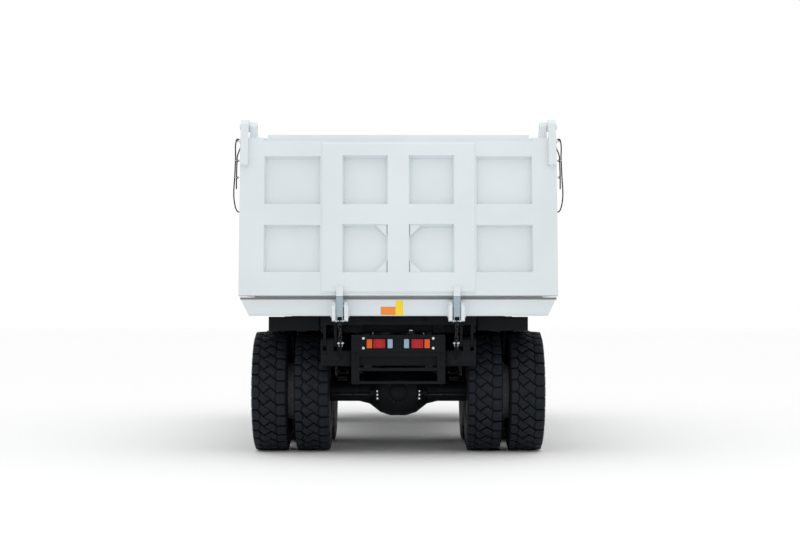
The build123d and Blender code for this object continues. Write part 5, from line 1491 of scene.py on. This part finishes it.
class TRUCK_OT_driver_place(bpy.types.Operator):
    """Model the driver's seat, the dash and the steering wheel"""

    bl_idname = "truck.driver_place"
    bl_label = "Driver's place"

    def execute(self, context):
        # name, centre, size, lean, and the plain solid that it stands for
        cushions = (
            ("seat_cushion", (SEAT_X, 2.830, 2.155), (0.44, 0.42, 0.10), 0.0, ["cab_interior"]),
            ("seat_back", (SEAT_X, 2.575, 2.470), (0.42, 0.09, 0.52), math.atan2(0.10, 0.60), ()))
        for name, centre, size, lean, replaced in cushions:
            cushion = finished(stuffed(centre, size, lean), name, "chassis", "seat_black",
                               smooth=180.0, replaces=replaced)
            smooth = cushion.modifiers.new("smooth", "SUBSURF")
            smooth.levels = smooth.render_levels = 1
            use(cushion)
            bpy.ops.object.modifier_apply(modifier=smooth.name)
        # seat's pan and box, on the floor
        base = [block((SEAT_X, 2.800, 2.065), (0.42, 0.46, 0.040), 0.010, 3),
                block((SEAT_X, 2.800, 1.955), (0.30, 0.36, 0.180), 0.012, 3),
                block((SEAT_X, 2.800, 1.815), (0.40, 0.46, 0.110), 0.015, 3)]
        base += [rod((SEAT_X + x, 2.585, 2.080), (SEAT_X + x, 2.520, 2.330), 0.014, 16)
                 for x in (-0.15, 0.15)]
        # dash with its hood, binnacle and column
        dash = [block((CAB_MIDDLE_X, 3.680, 2.230), (1.54, 0.200, 0.300), 0.040, 4),
                block((CAB_MIDDLE_X, 3.740, 1.930), (1.54, 0.080, 0.320), 0.010, 2),
                block((SEAT_X, 3.590, 2.395), (0.460, 0.200, 0.070), 0.028, 4),
                block((SEAT_X, 3.530, 2.290), (0.420, 0.110, 0.160), 0.020, 3),
                block((-0.420, 3.575, 2.290), (0.300, 0.030, 0.110), 0.010, 3)]
        dash += [rod((x, 3.545, 2.290), (x, 3.562, 2.290), 0.020, 24, 0.003)
                 for x in (-0.53 + 0.075 * step for step in range(4))]
        # the steering wheel leans toward the driver
        hub = Vector((SEAT_X, 3.380, 2.470))
        tilt = Vector((0, -0.5, 0.866))
        wheel = [turned([
            (GRIP * math.cos(turn), WHEEL_RING + GRIP * math.sin(turn))
            for turn in (math.tau * step / 12 for step in range(12))], 64)]
        for angle in (90, 210, 330):
            turn = math.radians(angle)
            way = Vector((0, math.cos(turn), math.sin(turn)))
            wheel.append(rod(way * 0.030 - Vector((0.018, 0, 0)), way * WHEEL_RING, 0.013, 16))
        wheel.append(rod((-0.040, 0, 0), (0.014, 0, 0), 0.055, 32, 0.010, 3))
        wheel = [moved(part, facing(hub, tilt) @ UPRIGHT) for part in wheel]
        column = [rod(hub - 0.03 * tilt, hub - 0.52 * tilt, 0.028, 24, 0.004)]
        column += [rod(hub - 0.06 * tilt, hub - 0.07 * tilt + Vector((side * 0.17, 0, 0)), 0.007, 12)
                   for side, _ in SIDES]
        finished(base + dash + wheel + column, "dash_and_wheel", "chassis", "trim_black")
        return {"FINISHED"}


# Front

HEADLAMP_X = (0.930, 1.070)
HEADLAMP_Z = 0.860
LAMP_BOX_X, LAMP_BOX_Y = 1.000, 4.184
# sections of a headlamp's ring and of its lens: place along the lamp's axis, radius
BEZEL = ((-0.012, 0.060), (-0.012, 0.070), (0.006, 0.070), (0.012, 0.065), (0.006, 0.060))
HEADLAMP_LENS = (
    (0.0, 0.0001), (0.0, 0.060), (0.010, 0.060), (0.018, 0.045), (0.022, 0.022), (0.023, 0.0001),
)
RADIATOR_HOSES = (
    ((0.22, 3.40, 1.50), (0.22, 3.46, 1.52), (0.25, 3.53, 1.60), (0.25, 3.62, 1.63)),
    ((-0.22, 3.40, 0.92), (-0.22, 3.46, 0.95), (-0.25, 3.54, 1.05), (-0.25, 3.62, 1.13)),
)


class TRUCK_OT_front_fittings(bpy.types.Operator):
    """Model the headlamps' lenses and bezels, the bumper's trim, the steps' treads and the radiator"""

    bl_idname = "truck.front_fittings"
    bl_label = "Front fittings"

    def execute(self, context):
        bezels, lenses = [], []
        for side, _ in SIDES:
            for x in HEADLAMP_X:
                bezels.append(turned_round(
                    BEZEL, (side * x, LAMP_BOX_Y + 0.008, HEADLAMP_Z), FORTH, 48))
                lenses.append(turned_round(
                    HEADLAMP_LENS, (side * x, LAMP_BOX_Y - 0.002, HEADLAMP_Z), FORTH, 48))
            # lamp's box, set round both lamps
            bezels += [block((side * LAMP_BOX_X, LAMP_BOX_Y, z), (0.330, 0.020, 0.018), 0.004)
                       for z in (0.944, 0.776)]
            bezels += [block((side * x, LAMP_BOX_Y, HEADLAMP_Z), (0.016, 0.020, 0.186), 0.004)
                       for x in (0.842, 1.158)]
            bezels.append(block(
                (side * LAMP_BOX_X, LAMP_BOX_Y - 0.001, HEADLAMP_Z), (0.310, 0.010, 0.160), 0.003))
        finished(lenses, "headlamp_lenses", "chassis", "lens_clear", smooth=50.0,
                 replaces=["headlamps"])
        finished(bezels, "headlamp_bezels", "chassis", "trim_black")

        trim = [block((0, 4.183, 0.695), (1.900, 0.014, 0.050), 0.004)]
        heads = [facing((side * x, 4.180, z), FORTH)
                 for side, _ in SIDES for x in (0.30, 0.62, 1.38) for z in (0.700, 0.990)]
        # tread bars on each step, and the string boards' bolts
        for step in range(3):
            y, z = 4.060 - 0.062 * step, 1.2125 + 0.180 * step
            trim += [block((1.230, y + along, z + 0.003), (0.400, 0.012, 0.010), 0.002)
                     for along in (-0.036, -0.012, 0.012, 0.036)]
            heads += [facing((x, y, z - 0.0125), (way, 0, 0)) for x, way in ((1.000, -1), (1.460, 1))]
        finished(trim, "front_trim", "chassis", "chassis_black")
        bolts(0.022, 0.011, heads, "front_bolts", "chassis", "chassis_black")

        # radiator: fine tubes behind the bars, top tank with its cap, hoses to the engine
        core = [block((0, 3.702, 1.384), (0.720, 0.020, 0.560), 0.004)]
        core += [block((-0.342 + 0.018 * step, 3.716, 1.384), (0.004, 0.012, 0.540), 0)
                 for step in range(39)]
        core.append(block((0, 3.660, 1.655), (0.740, 0.110, 0.070), 0.020, 3))
        core.append(rod((0.24, 3.660, 1.685), (0.24, 3.660, 1.712), 0.030, 32, 0.004))
        finished(core, "radiator_core", "chassis", "engine_grey")
        hoses = [bent_bar(route, 0.030, 5) for route in RADIATOR_HOSES]
        finished(hoses, "radiator_hoses", "chassis", "rope_black")
        return {"FINISHED"}


# Engine, tanks and what stands on the deck

# an exhaust branch of the engine: X, Z
BRANCH = ((0.345, 1.42), (0.385, 1.44), (0.395, 1.38), (0.395, 1.33))
FAN_Z = 1.350
FAN_BLADES = 8
SHAFT_Z = 0.860
# bands round the air cleaner's drum, and rings of the exhaust's shield: place, section
CLEANER_AT = (1.000, 2.350)
CLEANER_BAND = ((-0.020, 0.208), (-0.020, 0.2135), (0.020, 0.2135), (0.020, 0.208))
EXHAUST_AT = (0.560, 2.110)
SHIELD_RING = ((-0.008, 0.078), (-0.008, 0.088), (0.008, 0.088), (0.008, 0.078))
SHIELD_BARS = 14
HOIST_Y = 1.700


class TRUCK_OT_engine_fittings(bpy.types.Operator):
    """Model the engine's covers, branches, pulleys and fan, and the joints of the drive shafts"""

    bl_idname = "truck.engine_fittings"
    bl_label = "Engine fittings"

    def execute(self, context):
        grey, dark = [], []
        for step in range(6):
            y = 2.62 + 0.128 * step
            grey.append(block((0, y, 1.615), (0.250, 0.108, 0.034), 0.010, 3))
            grey += [bent_bar([(side * x, y, z) for x, z in BRANCH], 0.020, 3) for side, _ in SIDES]
        grey += [rod((x, 2.58, 1.34), (x, 3.32, 1.34), 0.036, 24, 0.006) for x in (0.395, -0.395)]
        # belt pulleys and fan in front
        for x, z, radius in ((0.0, 1.02, 0.110), (0.21, 1.30, 0.070), (-0.20, 1.34, 0.060)):
            dark.append(rod((x, 3.400, z), (x, 3.440, z), radius, 40, 0.006))
            dark.append(rod((x, 3.440, z), (x, 3.456, z), radius * 0.4, 24, 0.004))
        for step in range(FAN_BLADES):
            dark.append(moved(
                block((0, 0, 0.150), (0.090, 0.006, 0.200), 0.002),
                Matrix.Translation((0, 3.510, FAN_Z)),
                Matrix.Rotation(math.tau * step / FAN_BLADES, 4, "Y"),
                Matrix.Rotation(math.radians(28), 4, "Z")))
        dark.append(rod((0, 3.440, FAN_Z), (0, 3.530, FAN_Z), 0.055, 32, 0.006))
        finished(grey, "engine_covers", "chassis", "engine_grey")
        # universal joints along the drive line: Y of each
        for y in (1.900, -0.985, -1.165, -2.480):
            dark.append(rod((0, y - 0.012, SHAFT_Z), (0, y + 0.012, SHAFT_Z), 0.078, 40, 0.003))
            dark.append(block((0, y + 0.055, SHAFT_Z), (0.090, 0.080, 0.040), 0.010, 3))
            dark.append(block((0, y - 0.055, SHAFT_Z), (0.040, 0.080, 0.090), 0.010, 3))
            dark.append(rod((-0.060, y, SHAFT_Z), (0.060, y, SHAFT_Z), 0.018, 20, 0.003))
        finished(dark, "drive_joints", "chassis", "axle_black")
        return {"FINISHED"}


class TRUCK_OT_deck_fittings(bpy.types.Operator):
    """Model the tanks' straps and caps, the air cleaner's bands and the exhaust's shield"""

    bl_idname = "truck.deck_fittings"
    bl_label = "Deck fittings"

    def execute(self, context):
        dark, bright = [], []
        for side, _ in SIDES:
            for y in (0.560, 1.140):
                dark += [block((side * 0.900, y, z), (0.566, 0.050, 0.006), 0.002)
                         for z in (0.768, 1.292)]
                dark += [block((side * x, y, 1.030), (0.006, 0.050, 0.526), 0.002)
                         for x in (0.618, 1.182)]
                bright.append(facing((side * 1.184, y, 1.230), (side, 0, 0)))
            dark.append(rod(
                (side * 1.060, 0.850, 1.288), (side * 1.060, 0.850, 1.325), 0.050, 40, 0.006))
            dark.append(block((side * 1.060, 0.850, 1.330), (0.095, 0.018, 0.014), 0.004))
        # bands round the air cleaner's drum, each with its bolt
        for z in (1.860, 2.200, 2.540):
            dark.append(turned_round(CLEANER_BAND, (*CLEANER_AT, z), UP, 64))
            bright.append(facing((CLEANER_AT[0], 2.134, z), BACK))
        # shield round the exhaust, as upright bars on three rings
        for z in (1.95, 2.45, 2.95):
            dark.append(turned_round(SHIELD_RING, (*EXHAUST_AT, z), UP, 48))
        for step in range(SHIELD_BARS):
            turn = math.tau * step / SHIELD_BARS
            x, y = EXHAUST_AT[0] + 0.092 * math.cos(turn), EXHAUST_AT[1] + 0.092 * math.sin(turn)
            dark.append(rod((x, y, 1.93), (x, y, 2.97), 0.004, 8))
        finished(dark, "deck_fittings", "chassis", "chassis_black")
        bolts(0.018, 0.010, bright, "strap_bolts", "chassis")
        return {"FINISHED"}


class TRUCK_OT_hoist_collars(bpy.types.Operator):
    """Model the gland collars of the telescopic hoist"""

    bl_idname = "truck.hoist_collars"
    bl_label = "Hoist collars"

    def execute(self, context):
        # body, the collar's radius, its foot and top
        for body, radius, low, high in (
                ("hoist_barrel", 0.130, 2.820, 2.882), ("hoist_stage_1", 0.104, 2.880, 2.912),
                ("hoist_stage_2", 0.084, 2.910, 2.942)):
            collar = turned([
                (low, radius - 0.022), (low, radius), (high - 0.008, radius),
                (high, radius - 0.008), (high, radius - 0.022)], 64)
            moved(collar, Matrix.Translation((0, HOIST_Y, 0)), UPRIGHT)
            finished(collar, f"{body}_collar", body, "chassis_black")
        return {"FINISHED"}


# Studio


class TRUCK_OT_studio(bpy.types.Operator):
    """Lay the pale floor and set the lamps and the camera"""

    bl_idname = "truck.studio"
    bl_label = "Studio"

    def execute(self, context):
        studio = context.scene.truck_studio
        clear_selection()
        bpy.ops.mesh.primitive_plane_add(size=300)
        floor = bpy.context.object
        floor.name = "studio_floor"
        finish = Finish("studio_floor")
        finish.link(finish.ramp(
            finish.noise(3.0), (0.975, 0.975, 0.975, 1), (0.985, 0.985, 0.985, 1)), "Base Color")
        floor.data.materials.append(finish.done(Roughness=0.9))
        world = bpy.data.worlds.new("studio")
        context.scene.world = world
        world.use_nodes = True
        sky = world.node_tree.nodes["Background"]
        sky.inputs["Color"].default_value = (1.0, 1.0, 1.0, 1.0)
        sky.inputs["Strength"].default_value = studio.sky
        bpy.ops.object.light_add(type="AREA", location=(0, -5, 13))
        lamp = bpy.context.object
        lamp.name = "overhead_lamp"
        lamp.data.shape = "RECTANGLE"
        lamp.data.size = 10
        lamp.data.size_y = 10
        lamp.data.energy = studio.overhead
        bpy.ops.object.camera_add(
            location=(0, studio.camera_y, studio.camera_height),
            rotation=(math.radians(90), 0, 0))
        camera = bpy.context.object
        camera.data.sensor_width = 36
        camera.data.lens = studio.lens
        camera.data.shift_x = 0.0021
        camera.data.shift_y = 0.058
        camera.data.clip_end = 400
        context.scene.camera = camera
        context.scene.view_settings.view_transform = "Standard"
        return {"FINISHED"}


SETTINGS = {
    "truck_paint": PaintSettings,
    "truck_tyres": TyreSettings,
    "truck_lamps": LampSettings,
    "truck_studio": StudioSettings,
}
STEPS = (
    TRUCK_OT_mix_finishes,
    TRUCK_OT_tyres,
    TRUCK_OT_tail_lamps,
    TRUCK_OT_blank_plates,
    TRUCK_OT_leaf_springs,
    TRUCK_OT_axle_fittings,
    TRUCK_OT_frame_fittings,
    TRUCK_OT_board_lamp,
    TRUCK_OT_sill_trim,
    TRUCK_OT_latch_fittings,
    TRUCK_OT_chains,
    TRUCK_OT_stay_ropes,
    TRUCK_OT_wheel_fittings,
    TRUCK_OT_gate_trim,
    TRUCK_OT_bed_trim,
    TRUCK_OT_cab_trim,
    TRUCK_OT_driver_place,
    TRUCK_OT_front_fittings,
    TRUCK_OT_engine_fittings,
    TRUCK_OT_deck_fittings,
    TRUCK_OT_hoist_collars,
    TRUCK_OT_studio,
)


class VIEW3D_PT_dump_truck(bpy.types.Panel):
    """The truck's settings and steps"""

    bl_label = "Dump truck"
    bl_space_type = "VIEW_3D"
    bl_region_type = "UI"
    bl_category = "Dump truck"

    def draw(self, context):
        for key, group in SETTINGS.items():
            box = self.layout.box()
            box.label(text=group.__doc__)
            for name in group.__annotations__:
                box.prop(getattr(context.scene, key), name)
        for step in STEPS:
            self.layout.operator(step.bl_idname)


def register():
    for key, group in SETTINGS.items():
        bpy.utils.register_class(group)
        setattr(bpy.types.Scene, key, PointerProperty(type=group))
    for step in STEPS:
        bpy.utils.register_class(step)
    bpy.utils.register_class(VIEW3D_PT_dump_truck)


def unregister():
    bpy.utils.unregister_class(VIEW3D_PT_dump_truck)
    for step in reversed(STEPS):
        bpy.utils.unregister_class(step)
    for key, group in SETTINGS.items():
        delattr(bpy.types.Scene, key)
        bpy.utils.unregister_class(group)


def main():
    register()
    for step in STEPS:
        operator = getattr(bpy.ops.truck, step.bl_idname.split(".")[1])
        operator()


if __name__ == "__main__":
    main()
